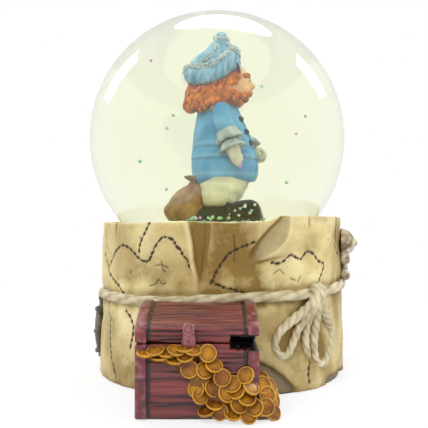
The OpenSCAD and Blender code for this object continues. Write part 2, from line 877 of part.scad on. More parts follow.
module winding_key() {
    wing_r = 4;
    key_z = 1.8;
    key_t = 2.2;
    top = plate_z + 1;
    at_key() color("gold") difference() {
        union() {
            translate([0, 0, key_z + 1]) cylinder(r = 2.9, h = top - key_z - 1);
            for (side = [-1, 1]) translate([side * (key_w / 2 - wing_r), key_t / 2, key_z + wing_r]) rotate([90, 0, 0])
                cylinder(r = wing_r, h = key_t);
            translate([-key_w / 2 + wing_r, -key_t / 2, key_z + 2]) cube([key_w - 2 * wing_r, key_t, 4]);
        }
        translate([0, 0, plate_z - 1 - seat_gap]) cylinder(r = arbor_r + seat_gap, h = 5);
    }
}

// Turns a shape that was drawn round Z to lie round X on the drum's axis
module on_axis(x, y = 0) {
    translate([x, y, axis_z]) rotate([0, 90, 0]) children();
}

module music_drum() {
    color("burlywood") on_axis(drum_x) tube(drum_r, drum_len, shaft_r + seat_gap);
}

// The tune's pins: a few on each note's ring
module drum_pins() {
    per_note = 3;
    color("gold") difference() {
        for (i = [0:notes - 1], k = [0:per_note - 1])
            on_axis(drum_x + (i + 0.5) * note_pitch)
                rotate(k * 120 + (i * 47) % 110 + 5)
                    translate([drum_r - 0.1, 0, 0]) rotate([0, 90, 0])
                        cylinder(r = 0.18, h = pin_out + 0.1, $fn = 16);
        on_axis(drum_x - 1) cylinder(r = drum_r + 0.02, h = drum_len + 2);
    }
}

module drum_shaft() {
    pinion_w = 1.5;
    color("silver") union() {
        on_axis(mesh_x - 1.4) tube(shaft_r, post_b + post_t + 0.6 - mesh_x + 1.4);
        on_axis(mesh_x - pinion_w / 2) rotate(180 / pinion_n)
            toothed(pinion_n, pinion_r, 0.6, 0.85, 0.7, 0.25, pinion_w);
        on_axis(wheel_x) toothed(wheel_n, wheel_r, 0.42, 0.5, 0.72, 0.3, wheel_t);
    }
}

module lay_shaft() {
    color("silver") union() {
        on_axis(wheel_x - 0.1, lay_y) tube(worm_shaft_r, post_c + post_t + 0.2 - wheel_x);
        on_axis(wheel_x, lay_y) rotate(lay_phase) toothed(lay_n, lay_n * wheel_module / 2, 0.4, 0.5, 0.62, 0.28, wheel_t);
        on_axis(worm_wheel_x, lay_y) toothed(worm_wheel_n, worm_wheel_r, 0.3, 0.4, 0.5, 0.22, worm_wheel_t);
    }
}
// A gap of the pinion faces the wheel's tooth
lay_phase = 90 + 180 / lay_n;

module governor_worm() {
    color("silver") translate([worm_x, worm_y, 0]) union() {
        translate([0, 0, frame_z + 0.3]) cylinder(r = worm_shaft_r, h = arm_z + 1 - frame_z, $fn = 32);
        translate([0, 0, axis_z - thread_len / 2])
            linear_extrude(thread_len, twist = -360 * thread_len / worm_pitch, slices = 54, $fn = 14)
                rotate(worm_phase) translate([0.3, 0]) circle(0.95, $fn = 14);
    }
}
// The thread's groove faces the worm wheel's tooth
worm_phase = 90 - 360 * (thread_len / 2) / worm_pitch;

module governor_fan() {
    color("gainsboro") translate([worm_x, worm_y, fan_z]) difference() {
        union() {
            cylinder(r = 1.1, h = fan_h, $fn = 32);
            translate([-fan_r, -0.2, 0]) cube([2 * fan_r, 0.4, fan_h]);
        }
        translate([0, 0, -1]) cylinder(r = worm_shaft_r + seat_gap, h = fan_h + 2, $fn = 32);
    }
}

glass_globe();
liquid_fill();
rubber_stopper();
globe_cement();
scene_ground();
glitter_flakes();
pirate_boots();
pirate_trousers();
pirate_coat();
coat_buttons();
pirate_sleeves();
pirate_cuffs();
pirate_hands();
pirate_head();
pirate_hair();
pirate_hat();
loot_sack();
map_base();
rope_band();
rope_bow();
ship_wheel();
skull_relief();
anchor_relief();
chest_body();
chest_lid();
chest_straps();
chest_hasp();
coin_heap();
felt_pads();
bottom_plate();
plate_screws();
movement_frame();
movement_screws();
comb();
comb_screws();
governor_bracket();
spring_housing();
winding_key();
winding_arbor();
crown_wheel();
mainspring();
music_drum();
drum_pins();
drum_shaft();
lay_shaft();
governor_worm();
governor_fan();
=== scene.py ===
import bpy
import bmesh
import math
import random
import numpy as np
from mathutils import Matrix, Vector, noise


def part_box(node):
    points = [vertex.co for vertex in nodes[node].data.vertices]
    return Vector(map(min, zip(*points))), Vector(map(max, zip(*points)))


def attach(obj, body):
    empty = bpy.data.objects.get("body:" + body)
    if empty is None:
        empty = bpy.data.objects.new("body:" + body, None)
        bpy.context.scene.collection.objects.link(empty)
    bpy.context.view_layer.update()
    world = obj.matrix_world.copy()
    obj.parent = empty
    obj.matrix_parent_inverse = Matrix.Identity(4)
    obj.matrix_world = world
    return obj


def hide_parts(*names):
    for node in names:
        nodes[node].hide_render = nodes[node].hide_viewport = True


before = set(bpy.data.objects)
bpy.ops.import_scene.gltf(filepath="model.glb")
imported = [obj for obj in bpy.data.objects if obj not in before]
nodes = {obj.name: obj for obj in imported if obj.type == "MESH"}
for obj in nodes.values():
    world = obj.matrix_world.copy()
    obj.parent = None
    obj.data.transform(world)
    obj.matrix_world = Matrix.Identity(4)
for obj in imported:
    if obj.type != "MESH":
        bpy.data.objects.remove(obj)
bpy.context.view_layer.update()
scene = bpy.context.scene
mainBody = "globe_and_base"
mm = 0.001

# Camera and stage

cameraSetup = {
    "distance": 272, "height": 60, "lens": 57.3, "side": -1.2, "shiftY": 0.007,
    "floorSize": 5.0, "skyLight": 0.5, "floorGlow": 0.72,
}


def rayIsSeen(tree):
    # 1 for rays from the camera, off gloss and through glass
    path = tree.nodes.new("ShaderNodeLightPath")
    total = path.outputs["Is Camera Ray"]
    for name in ("Is Glossy Ray", "Is Transmission Ray"):
        add = tree.nodes.new("ShaderNodeMath")
        add.operation = "MAXIMUM"
        tree.links.new(total, add.inputs[0])
        tree.links.new(path.outputs[name], add.inputs[1])
        total = add.outputs[0]
    return total


def makeWorld():
    world = bpy.data.worlds.new("studioSky")
    world.use_nodes = True
    tree = world.node_tree
    tree.nodes.clear()
    lit = tree.nodes.new("ShaderNodeBackground")
    lit.inputs["Strength"].default_value = cameraSetup["skyLight"]
    seen = tree.nodes.new("ShaderNodeBackground")
    seen.inputs["Color"].default_value = (1, 1, 1, 1)
    lit.inputs["Color"].default_value = (1, 1, 1, 1)
    mix = tree.nodes.new("ShaderNodeMixShader")
    out = tree.nodes.new("ShaderNodeOutputWorld")
    tree.links.new(rayIsSeen(tree), mix.inputs[0])
    tree.links.new(lit.outputs[0], mix.inputs[1])
    tree.links.new(seen.outputs[0], mix.inputs[2])
    tree.links.new(mix.outputs[0], out.inputs["Surface"])
    scene.world = world


def makeFloor():
    half = cameraSetup["floorSize"] / 2
    mesh = bpy.data.meshes.new("studioFloor")
    mesh.from_pydata([(-half, -half, 0), (half, -half, 0), (half, half, 0), (-half, half, 0)], [], [(0, 1, 2, 3)])
    floor = bpy.data.objects.new("studioFloor", mesh)
    scene.collection.objects.link(floor)
    mat = bpy.data.materials.new("studioFloor")
    mat.use_nodes = True
    tree = mat.node_tree
    tree.nodes.clear()
    white = tree.nodes.new("ShaderNodeBsdfDiffuse")
    white.inputs["Color"].default_value = (0.92, 0.91, 0.91, 1)
    glow = tree.nodes.new("ShaderNodeEmission")
    # the floor fades to white away from the object
    place = tree.nodes.new("ShaderNodeTexCoord")
    reach = tree.nodes.new("ShaderNodeVectorMath")
    reach.operation = "LENGTH"
    tree.links.new(place.outputs["Object"], reach.inputs[0])
    fade = tree.nodes.new("ShaderNodeMapRange")
    tree.links.new(reach.outputs["Value"], fade.inputs["Value"])
    for key, value in (("From Min", 0.09), ("From Max", 0.34), ("To Min", cameraSetup["floorGlow"]), ("To Max", 1.0)):
        fade.inputs[key].default_value = value
    scale = tree.nodes.new("ShaderNodeMath")
    scale.operation = "MULTIPLY"
    tree.links.new(fade.outputs[0], scale.inputs[1])
    mix = tree.nodes.new("ShaderNodeMixShader")
    out = tree.nodes.new("ShaderNodeOutputMaterial")
    tree.links.new(rayIsSeen(tree), scale.inputs[0])
    tree.links.new(scale.outputs[0], mix.inputs[0])
    tree.links.new(white.outputs[0], mix.inputs[1])
    tree.links.new(glow.outputs[0], mix.inputs[2])
    tree.links.new(mix.outputs[0], out.inputs["Surface"])
    mesh.materials.append(mat)


def makeLamp(name, place, aim, size, power, mirrored, shape="RECTANGLE"):
    # a mirrored lamp also shows as a soft patch on the glass
    lamp = bpy.data.lights.new(name, "AREA")
    lamp.shape = shape
    lamp.size, lamp.size_y = size
    lamp.energy = power
    obj = bpy.data.objects.new(name, lamp)
    obj.location = place
    obj.rotation_mode = "QUATERNION"
    obj.rotation_quaternion = (Vector(aim) - Vector(place)).to_track_quat("-Z", "Y")
    obj.visible_transmission = False
    obj.visible_glossy = mirrored
    scene.collection.objects.link(obj)


def makeCamera():
    cam = bpy.data.cameras.new("camera")
    cam.lens = cameraSetup["lens"]
    cam.shift_y = cameraSetup["shiftY"]
    obj = bpy.data.objects.new("camera", cam)
    obj.location = (cameraSetup["side"] * mm, -cameraSetup["distance"] * mm, cameraSetup["height"] * mm)
    obj.rotation_euler = (math.pi / 2, 0, 0)
    scene.collection.objects.link(obj)
    scene.camera = obj


makeWorld()
makeFloor()
makeCamera()
aimPoint = (0, 0, 0.07)
makeLamp("frontTop", (-0.18, -0.62, 0.66), aimPoint, (0.6, 0.45), 4.8, False)
makeLamp("frontRight", (0.6, -0.42, 0.3), aimPoint, (0.4, 0.4), 1.2, False)
makeLamp("topRing", (0.03, 0.2, 0.56), (0, 0, 0.12), (0.4, 0.26), 0.75, True, "ELLIPSE")
makeLamp("sideLeft", (-0.576, 0.336, 0.51), aimPoint, (0.2, 0.34), 1.6, True)
makeLamp("sideRight", (0.6, 0.264, 0.526), aimPoint, (0.2, 0.3), 1.6, True)
scene.view_settings.view_transform = "Standard"
print("stage ready")

# Meshes


def addPiece(name, verts, faces, mat, body=mainBody, marks=None):
    # verts in mm, in the frame; marks are named values from 0 to 1 on the vertices
    mesh = bpy.data.meshes.new(name)
    points = np.asarray(verts, dtype=float) * mm
    mesh.from_pydata(points.tolist(), [], [tuple(f) for f in faces])
    for key, values in (marks or {}).items():
        layer = mesh.attributes.new(key, "FLOAT", "POINT")
        layer.data.foreach_set("value", np.clip(np.asarray(values, dtype=float), 0, 1))
    work = bmesh.new()
    work.from_mesh(mesh)
    bmesh.ops.recalc_face_normals(work, faces=work.faces)
    work.to_mesh(mesh)
    work.free()
    mesh.validate()
    mesh.shade_smooth()
    obj = bpy.data.objects.new(name, mesh)
    scene.collection.objects.link(obj)
    mesh.materials.append(mat)
    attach(obj, body)
    return obj


def gridFaces(rows, cols):
    faces = []
    for r in range(rows - 1):
        for c in range(cols):
            n = (c + 1) % cols
            faces.append((r * cols + c, r * cols + n, (r + 1) * cols + n, (r + 1) * cols + c))
    return faces


def capped(verts, rows, cols):
    # a wrapped grid with a point in the middle of each end ring
    verts = np.asarray(verts, dtype=float)
    faces = gridFaces(rows, cols)
    low, high = verts[:cols].mean(axis=0), verts[-cols:].mean(axis=0)
    total = rows * cols
    out = np.vstack([verts, low, high])
    for c in range(cols):
        n = (c + 1) % cols
        faces.append((n, c, total))
        faces.append((total - cols + c, total - cols + n, total + 1))
    return out, faces


def joinParts(parts):
    # several (verts, faces) as one
    verts, faces, start = [], [], 0
    for v, f in parts:
        verts.append(np.asarray(v, dtype=float))
        faces += [tuple(i + start for i in face) for face in f]
        start += len(v)
    return np.vstack(verts), faces


def smoothPath(points, steps=8):
    # Catmull-Rom through the points
    p = np.asarray(points, dtype=float)
    p = np.vstack([2 * p[0] - p[1], p, 2 * p[-1] - p[-2]])
    out = []
    for i in range(1, len(p) - 2):
        for k in range(steps):
            t = k / steps
            out.append(0.5 * (2 * p[i] + (p[i + 1] - p[i - 1]) * t
                              + (2 * p[i - 1] - 5 * p[i] + 4 * p[i + 1] - p[i + 2]) * t ** 2
                              + (3 * p[i] - 3 * p[i + 1] + p[i + 2] - p[i - 1]) * t ** 3))
    out.append(p[-2])
    return np.asarray(out)


def tubeParts(path, radius, sides=12, lobes=0, lobeDepth=0.14, pitch=12, grooves=None):
    # a tube along a path; lobes twist round it like the strands of a rope
    path = np.asarray(path, dtype=float)
    count = len(path)
    radius = np.broadcast_to(np.asarray(radius, dtype=float), (count,)).copy()
    tangents = np.gradient(path, axis=0)
    tangents /= np.linalg.norm(tangents, axis=1)[:, None]
    up = np.array([0.0, 0, 1]) if abs(tangents[0][2]) < 0.9 else np.array([1.0, 0, 0])
    verts, run = [], 0.0
    for i in range(count):
        t = tangents[i]
        up = up - t * up.dot(t)
        up /= np.linalg.norm(up)
        side = np.cross(t, up)
        if i:
            run += np.linalg.norm(path[i] - path[i - 1])
        r = radius[i]
        if i in (0, count - 1):
            r *= 0.45
        for k in range(sides):
            a = 2 * math.pi * k / sides
            crest = abs(math.cos(lobes * (a - 2 * math.pi * run / pitch) / 2)) if lobes else 0.6
            swell = 1 + lobeDepth * (crest - 0.6) * 1.6
            if grooves is not None:
                grooves.append(1 - crest)
            verts.append(path[i] + r * swell * (math.cos(a) * side + math.sin(a) * up))
    if grooves is not None:
        grooves += [0.5, 0.5]
    return capped(verts, count, sides)


def loftParts(stations, sides=40, steps=6, shape=None, axis="z"):
    # stations: centre x, centre y, height, half width in x, half width in y
    rows = smoothPath(stations, steps)
    verts = []
    total = len(rows)
    for i, (cx, cy, h, rx, ry) in enumerate(rows):
        rx, ry = max(rx, 0.02), max(ry, 0.02)
        for k in range(sides):
            a = 2 * math.pi * k / sides
            grow = shape(a, i / (total - 1), h) if shape else 1
            x, y = cx + rx * grow * math.cos(a), cy + ry * grow * math.sin(a)
            verts.append((x, y, h) if axis == "z" else (h, y, x))
    return capped(verts, total, sides)


def ballParts(centre, radii, rings=16, sides=24):
    verts = []
    for i in range(rings):
        polar = math.pi * (i + 0.5) / rings
        for k in range(sides):
            a = 2 * math.pi * k / sides
            p = Vector((radii[0] * math.sin(polar) * math.cos(a), radii[1] * math.sin(polar) * math.sin(a),
                        radii[2] * math.cos(polar)))
            verts.append((p[0] + centre[0], p[1] + centre[1], p[2] + centre[2]))
    verts, faces = capped(verts, rings, sides)
    for end, sign in ((-2, 1), (-1, -1)):
        p = Vector((0, 0, sign * radii[2]))
        verts[end] = (p[0] + centre[0], p[1] + centre[1], p[2] + centre[2])
    return verts, faces


def roughen(verts, amount, size, seed=0.0):
    # moves points along a noise field, for a hand-made look
    out = np.asarray(verts, dtype=float).copy()
    for i, v in enumerate(out):
        p = Vector(v / size) + Vector((seed, seed * 0.7, -seed))
        out[i] += np.array(noise.noise_vector(p)) * amount
    return out


def ease(low, high, x):
    t = np.clip((np.asarray(x, dtype=float) - low) / (high - low), 0, 1)
    return t * t * (3 - 2 * t)


# Finishes


def linkNew(tree, kind, **inputs):
    node = tree.nodes.new(kind)
    for key, value in inputs.items():
        socket = node.inputs[key]
        if isinstance(value, bpy.types.NodeSocket):
            tree.links.new(value, socket)
        else:
            socket.default_value = value
    return node


def mixColour(tree, factor, a, b):
    node = tree.nodes.new("ShaderNodeMix")
    node.data_type = "RGBA"
    for socket, value in ((node.inputs[0], factor), (node.inputs[6], a), (node.inputs[7], b)):
        if isinstance(value, bpy.types.NodeSocket):
            tree.links.new(value, socket)
        else:
            socket.default_value = value if not isinstance(value, tuple) else (*value[:3], 1)
    return node.outputs[2]


def rampOf(tree, factor, stops):
    node = tree.nodes.new("ShaderNodeValToRGB")
    tree.links.new(factor, node.inputs[0])
    ramp = node.color_ramp
    while len(ramp.elements) < len(stops):
        ramp.elements.new(0.5)
    for element, (place, colour) in zip(ramp.elements, stops):
        element.position = place
        element.color = (*colour[:3], 1) if isinstance(colour, tuple) else (colour, colour, colour, 1)
    return node.outputs[0]


def finish(name, light, dark, grain=60, fine=900, rough=0.55, bump=0.25, bumpDepth=0.0003, stretch=(1, 1, 1),
           marks=(), metallic=0, coat=0, speckle=None, roughSpread=0.15, sheen=0, gloss=0.5):
    # a two-tone painted or cast finish; marks are (attribute, colour, strength)
    mat = bpy.data.materials.new(name)
    mat.use_nodes = True
    tree = mat.node_tree
    shader = tree.nodes["Principled BSDF"]
    place = tree.nodes.new("ShaderNodeTexCoord").outputs["Object"]
    place = linkNew(tree, "ShaderNodeMapping", Vector=place, Scale=stretch).outputs[0]
    broad = linkNew(tree, "ShaderNodeTexNoise", Vector=place, Scale=grain, Detail=6, Roughness=0.6).outputs[0]
    small = linkNew(tree, "ShaderNodeTexNoise", Vector=place, Scale=fine, Detail=3, Roughness=0.6).outputs[0]
    colour = rampOf(tree, broad, [(0.35, dark), (0.62, light)])
    colour = mixColour(tree, rampOf(tree, small, [(0.3, 0.22), (0.6, 0.0)]), colour, dark)
    if speckle:
        dots = linkNew(tree, "ShaderNodeTexNoise", Vector=place, Scale=fine * 0.55, Detail=2).outputs[0]
        colour = mixColour(tree, rampOf(tree, dots, [(0.66, 0.0), (0.74, 0.7)]), colour, speckle)
    for attribute, tint, strength in marks:
        layer = tree.nodes.new("ShaderNodeAttribute")
        layer.attribute_name = attribute
        broken = linkNew(tree, "ShaderNodeTexNoise", Vector=place, Scale=fine * 0.6, Detail=4).outputs[0]
        broken = rampOf(tree, broken, [(0.3, 0.8), (0.6, 1.0)])
        amount = tree.nodes.new("ShaderNodeMath")
        amount.operation = "MULTIPLY"
        tree.links.new(layer.outputs["Fac"], amount.inputs[0])
        tree.links.new(broken, amount.inputs[1])
        strong = tree.nodes.new("ShaderNodeMath")
        strong.operation = "MULTIPLY"
        strong.use_clamp = True
        strong.inputs[1].default_value = strength
        tree.links.new(amount.outputs[0], strong.inputs[0])
        colour = mixColour(tree, strong.outputs[0], colour, tint)
    tree.links.new(colour, shader.inputs["Base Color"])
    spread = linkNew(tree, "ShaderNodeMapRange", Value=broad)
    spread.inputs["To Min"].default_value = max(rough - roughSpread, 0.05)
    spread.inputs["To Max"].default_value = min(rough + roughSpread, 1)
    tree.links.new(spread.outputs[0], shader.inputs["Roughness"])
    shader.inputs["Metallic"].default_value = metallic
    shader.inputs["Coat Weight"].default_value = coat
    shader.inputs["Specular IOR Level"].default_value = gloss
    shader.inputs["Sheen Weight"].default_value = sheen
    height = linkNew(tree, "ShaderNodeTexNoise", Vector=place, Scale=fine * 0.5, Detail=5, Roughness=0.65).outputs[0]
    relief = linkNew(tree, "ShaderNodeBump", Height=height, Strength=bump, Distance=bumpDepth)
    tree.links.new(relief.outputs[0], shader.inputs["Normal"])
    return mat


def clearFinish(name, ior, colour, absorb=None):
    # refracts what is behind it, and lets the lamps shine through
    mat = bpy.data.materials.new(name)
    mat.use_nodes = True
    tree = mat.node_tree
    tree.nodes.clear()
    glass = linkNew(tree, "ShaderNodeBsdfGlass", Color=colour, Roughness=0.0, IOR=ior)
    clear = linkNew(tree, "ShaderNodeBsdfTransparent", Color=(0.97, 0.98, 0.95, 1))
    path = tree.nodes.new("ShaderNodeLightPath")
    mix = tree.nodes.new("ShaderNodeMixShader")
    out = tree.nodes.new("ShaderNodeOutputMaterial")
    tree.links.new(path.outputs["Is Shadow Ray"], mix.inputs[0])
    tree.links.new(glass.outputs[0], mix.inputs[1])
    tree.links.new(clear.outputs[0], mix.inputs[2])
    tree.links.new(mix.outputs[0], out.inputs["Surface"])
    if absorb:
        tint, density = absorb
        volume = linkNew(tree, "ShaderNodeVolumeAbsorption", Color=tint, Density=density)
        tree.links.new(volume.outputs[0], out.inputs["Volume"])
    return mat


brownWash = (0.085, 0.042, 0.017)
finishes = {
    "glass": clearFinish("clearGlass", 1.47, (1, 1, 1, 1)),
    "liquid": clearFinish("paleLiquid", 1.38, (1, 1, 1, 1), ((0.88, 0.92, 0.60, 1), 10.0)),
    # parchment: the light mark is a painted highlight on raised edges, crests and the rim, the shade mark painted
    # shade in folds over a random brown tone, the underside mark painted shade under the flap and the lifted edge,
    # crack the inked lines
    "parchment": finish("parchment", (0.74, 0.64, 0.32), (0.50, 0.375, 0.14), grain=55, fine=1100, rough=0.62,
                        bump=0.35,
                        marks=(("wear_and_highlight", (0.84, 0.74, 0.46), 0.55), ("shade", (0.20, 0.12, 0.022), 1.28),
                               ("under", (0.20, 0.155, 0.09), 1.2), ("crack", (0.022, 0.011, 0.006), 1.6)),
                        speckle=(0.30, 0.19, 0.07)),
    "rope": finish("ropePaint", (0.70, 0.64, 0.45), (0.46, 0.39, 0.22), grain=120, fine=1500, rough=0.6, bump=0.5,
                   marks=(("shade", (0.22, 0.15, 0.07), 1.0),)),
    # chest and straps: the light mark is wear, and on the body also a painted highlight on upward faces; the
    # near-black mark is painted shade inside the broken corner
    "chestRed": finish("chestRed", (0.15, 0.018, 0.016), (0.075, 0.009, 0.013), grain=90, fine=900, rough=0.4,
                       bump=0.5,
                       stretch=(0.25, 1, 2.2), coat=0.25,
                       marks=(("wear_and_highlight", (0.40, 0.125, 0.105), 0.6), ("groove", (0.018, 0.004, 0.005), 1.2),
                              ("hollow_shade", (0.003, 0.002, 0.002), 1.8))),
    "strapRed": finish("strapRed", (0.17, 0.022, 0.03), (0.075, 0.010, 0.016), grain=110, fine=1200, rough=0.36,
                       bump=0.45,
                       coat=0.3, marks=(("wear_and_highlight", (0.42, 0.17, 0.18), 0.55), ("groove", (0.018, 0.004, 0.005), 1.2),
                                        ("hollow_shade", (0.003, 0.002, 0.002), 1.8))),
    # gold: the lighter gold is a painted highlight on the raised coin rims, the dark mark painted shade
    "gold": finish("goldPaint", (0.60, 0.27, 0.010), (0.22, 0.065, 0.005), grain=170, fine=1400, rough=0.34, bump=0.3,
                   coat=0.15, metallic=0.1, gloss=0.3,
                   marks=(("rim", (0.70, 0.42, 0.045), 0.45), ("shade", (0.06, 0.022, 0.008), 1.0))),
    "coat": finish("coatBlue", (0.11, 0.37, 0.67), (0.05, 0.245, 0.51), grain=160, fine=1500, rough=0.45, bump=0.25,
                   marks=(("shade", (0.02, 0.10, 0.22), 0.8), ("wear_and_highlight", (0.42, 0.68, 0.84), 0.6)), gloss=0.12),
    "hat": finish("hatBlue", (0.13, 0.40, 0.68), (0.07, 0.27, 0.50), grain=160, fine=1500, rough=0.42, bump=0.3,
                  marks=(("shade", (0.02, 0.10, 0.20), 0.8), ("wear_and_highlight", (0.62, 0.80, 0.90), 0.7)), gloss=0.12),
    "trim": finish("silverTrim", (0.66, 0.74, 0.80), (0.30, 0.42, 0.52), grain=900, fine=3500, rough=0.3, bump=0.8,
                   metallic=0.3),
    "cuff": finish("cuffGrey", (0.62, 0.68, 0.68), (0.34, 0.42, 0.44), grain=240, fine=1600, rough=0.45, bump=0.4,
                   marks=(("shade", (0.14, 0.18, 0.20), 0.7),), gloss=0.12),
    "skin": finish("skinPaint", (0.80, 0.50, 0.29), (0.66, 0.35, 0.18), grain=180, fine=1600, rough=0.42, bump=0.2,
                   gloss=0.12),
    "glove": finish("palePaint", (0.72, 0.68, 0.56), (0.52, 0.50, 0.42), grain=200, fine=1600, rough=0.45, bump=0.25,
                    gloss=0.12),
    "hair": finish("hairOrange", (0.82, 0.27, 0.020), (0.50, 0.12, 0.008), grain=420, fine=2200, rough=0.42, bump=0.5,
                   marks=(("shade", (0.22, 0.045, 0.010), 0.7),), gloss=0.12),
    "trousers": finish("trouserCream", (0.78, 0.76, 0.58), (0.62, 0.59, 0.42), grain=150, fine=1400, rough=0.5,
                       bump=0.3,
                       marks=(("shade", (0.20, 0.15, 0.08), 0.7),), gloss=0.12),
    "boots": finish("bootBlack", (0.006, 0.016, 0.028), (0.002, 0.005, 0.010), grain=200, fine=1600, rough=0.34,
                    bump=0.35, gloss=0.12),
    "dark": finish("darkPaint", (0.03, 0.06, 0.08), (0.012, 0.02, 0.03), grain=300, fine=2000, rough=0.35, bump=0.2,
                   gloss=0.12),
    "eye": finish("eyeWhite", (0.8, 0.8, 0.76), (0.62, 0.60, 0.56), grain=300, fine=2000, rough=0.25, bump=0.1,
                  gloss=0.12),
    "sack": finish("sackTan", (0.40, 0.24, 0.11), (0.24, 0.125, 0.05), grain=160, fine=1300, rough=0.6, bump=0.5,
                   marks=(("shade", (0.09, 0.04, 0.015), 0.8),), gloss=0.12),
    "sand": finish("snowPaint", (0.86, 0.85, 0.72), (0.70, 0.68, 0.52), grain=120, fine=1500, rough=0.7, bump=0.7,
                   gloss=0.12),
    "iron": finish("ironPaint", (0.16, 0.15, 0.12), (0.055, 0.055, 0.05), grain=160, fine=1500, rough=0.42, bump=0.5,
                   coat=0.15, speckle=(0.34, 0.22, 0.07)),
    "bone": finish("bonePaint", (0.78, 0.72, 0.54), (0.50, 0.40, 0.24), grain=150, fine=1400, rough=0.55, bump=0.5,
                   marks=(("shade", brownWash, 0.9),), speckle=(0.30, 0.19, 0.08)),
    "felt": finish("greenFelt", (0.035, 0.09, 0.05), (0.015, 0.045, 0.025), grain=900, fine=6000, rough=0.95,
                   bump=0.9,
                   roughSpread=0.04, sheen=0.6),
    "plastic": finish("blackPlastic", (0.028, 0.028, 0.029), (0.018, 0.018, 0.019), grain=400, fine=4000, rough=0.5,
                      bump=0.25),
    "steel": finish("brightSteel", (0.62, 0.63, 0.64), (0.45, 0.46, 0.47), grain=300, fine=2500, rough=0.3, bump=0.15,
                    metallic=1, stretch=(1, 1, 0.2)),
    "zinc": finish("zincCasting", (0.50, 0.50, 0.49), (0.36, 0.36, 0.36), grain=300, fine=2500, rough=0.5, bump=0.4,
                   metallic=1),
    "blued": finish("springSteel", (0.20, 0.23, 0.29), (0.11, 0.13, 0.18), grain=300, fine=2500, rough=0.32,
                    bump=0.15, metallic=1),
    "brass": finish("polishedBrass", (0.78, 0.57, 0.23), (0.60, 0.40, 0.14), grain=260, fine=2500, rough=0.24,
                    bump=0.12, metallic=1),
    "rubber": finish("greyRubber", (0.05, 0.05, 0.05), (0.03, 0.03, 0.03), grain=260, fine=3000, rough=0.8, bump=0.3),
    "cement": finish("ivoryCement", (0.62, 0.57, 0.42), (0.45, 0.40, 0.27), grain=200, fine=1800, rough=0.6,
                     bump=0.5),
}
print("finishes ready")

# CAD nodes that keep their own shape get a finish
keptNodes = {
    "rubber_stopper": "rubber", "globe_cement": "cement", "felt_pads": "felt", "bottom_plate": "plastic",
    "plate_screws": "steel", "movement_frame": "zinc", "movement_screws": "steel", "comb": "steel",
    "comb_screws": "steel", "governor_bracket": "steel", "spring_housing": "steel", "winding_key": "brass",
    "winding_arbor": "steel", "crown_wheel": "brass", "mainspring": "blued", "music_drum": "brass",
    "drum_pins": "steel", "drum_shaft": "steel", "lay_shaft": "steel", "governor_worm": "steel",
    "governor_fan": "steel",
}
for key, look in keptNodes.items():
    mesh = nodes[key].data
    mesh.materials.clear()
    mesh.materials.append(finishes[look])

# Instances


def scatter(name, source, places, turns, sizes, mat, body=mainBody):
    # one Geometry Nodes tree: the source on every point, then made real
    cloud = bpy.data.meshes.new(name + "Points")
    cloud.from_pydata([tuple(np.asarray(p, dtype=float) * mm) for p in places], [], [])
    turnLayer = cloud.attributes.new("turn", "FLOAT_VECTOR", "POINT")
    turnLayer.data.foreach_set("vector", np.asarray(turns, dtype=float).ravel())
    sizeLayer = cloud.attributes.new("size", "FLOAT", "POINT")
    sizeLayer.data.foreach_set("value", np.asarray(sizes, dtype=float))
    carrier = bpy.data.objects.new(name + "Points", cloud)
    scene.collection.objects.link(carrier)
    tree = bpy.data.node_groups.new(name + "Tree", "GeometryNodeTree")
    face = tree.interface
    face.new_socket("Geometry", in_out="INPUT", socket_type="NodeSocketGeometry")
    sizeInput = face.new_socket("Overall size", in_out="INPUT", socket_type="NodeSocketFloat")
    sourceInput = face.new_socket("Source", in_out="INPUT", socket_type="NodeSocketObject")
    face.new_socket("Geometry", in_out="OUTPUT", socket_type="NodeSocketGeometry")
    make = tree.nodes.new
    given, result = make("NodeGroupInput"), make("NodeGroupOutput")
    info = make("GeometryNodeObjectInfo")
    spread = make("GeometryNodeInstanceOnPoints")
    turn, size = make("GeometryNodeInputNamedAttribute"), make("GeometryNodeInputNamedAttribute")
    turn.data_type, size.data_type = "FLOAT_VECTOR", "FLOAT"
    turn.inputs["Name"].default_value, size.inputs["Name"].default_value = "turn", "size"
    euler = make("FunctionNodeEulerToRotation")
    scaled = make("ShaderNodeMath")
    scaled.operation = "MULTIPLY"
    real, paint = make("GeometryNodeRealizeInstances"), make("GeometryNodeSetMaterial")
    paint.inputs["Material"].default_value = mat
    join = tree.links.new
    join(given.outputs["Geometry"], spread.inputs["Points"])
    join(given.outputs["Source"], info.inputs["Object"])
    join(info.outputs["Geometry"], spread.inputs["Instance"])
    join(turn.outputs["Attribute"], euler.inputs[0])
    join(euler.outputs[0], spread.inputs["Rotation"])
    join(size.outputs["Attribute"], scaled.inputs[0])
    join(given.outputs["Overall size"], scaled.inputs[1])
    join(scaled.outputs[0], spread.inputs["Scale"])
    join(spread.outputs[0], real.inputs[0])
    join(real.outputs[0], paint.inputs["Geometry"])
    join(paint.outputs[0], result.inputs[0])
    modifier = carrier.modifiers.new("scatter", "NODES")
    modifier.node_group = tree
    modifier[sizeInput.identifier] = 1.0
    modifier[sourceInput.identifier] = source
    shown = carrier.evaluated_get(bpy.context.evaluated_depsgraph_get())
    mesh = bpy.data.meshes.new_from_object(shown)
    bpy.data.objects.remove(carrier)
    obj = bpy.data.objects.new(name, mesh)
    scene.collection.objects.link(obj)
    if not mesh.materials:
        mesh.materials.append(mat)
    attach(obj, body)
    return obj


def sourceObject(name, verts, faces, marks=None):
    obj = addPiece(name, verts, faces, finishes["gold"], marks=marks)
    obj.parent = None
    scene.collection.objects.unlink(obj)
    return obj


# The globe

globe = {"outer": 50, "inner": 48, "centre": 90.5, "neck": 30, "neckInner": 28, "neckLow": 43.5, "plugTop": 52.55,
         "overlap": 0.06, "plugOverlap": 0.6}


def revolve(profile, sides=144):
    verts = []
    for r, z in profile:
        for k in range(sides):
            a = 2 * math.pi * k / sides
            verts.append((r * math.cos(a), r * math.sin(a), z))
    return verts, len(profile), sides


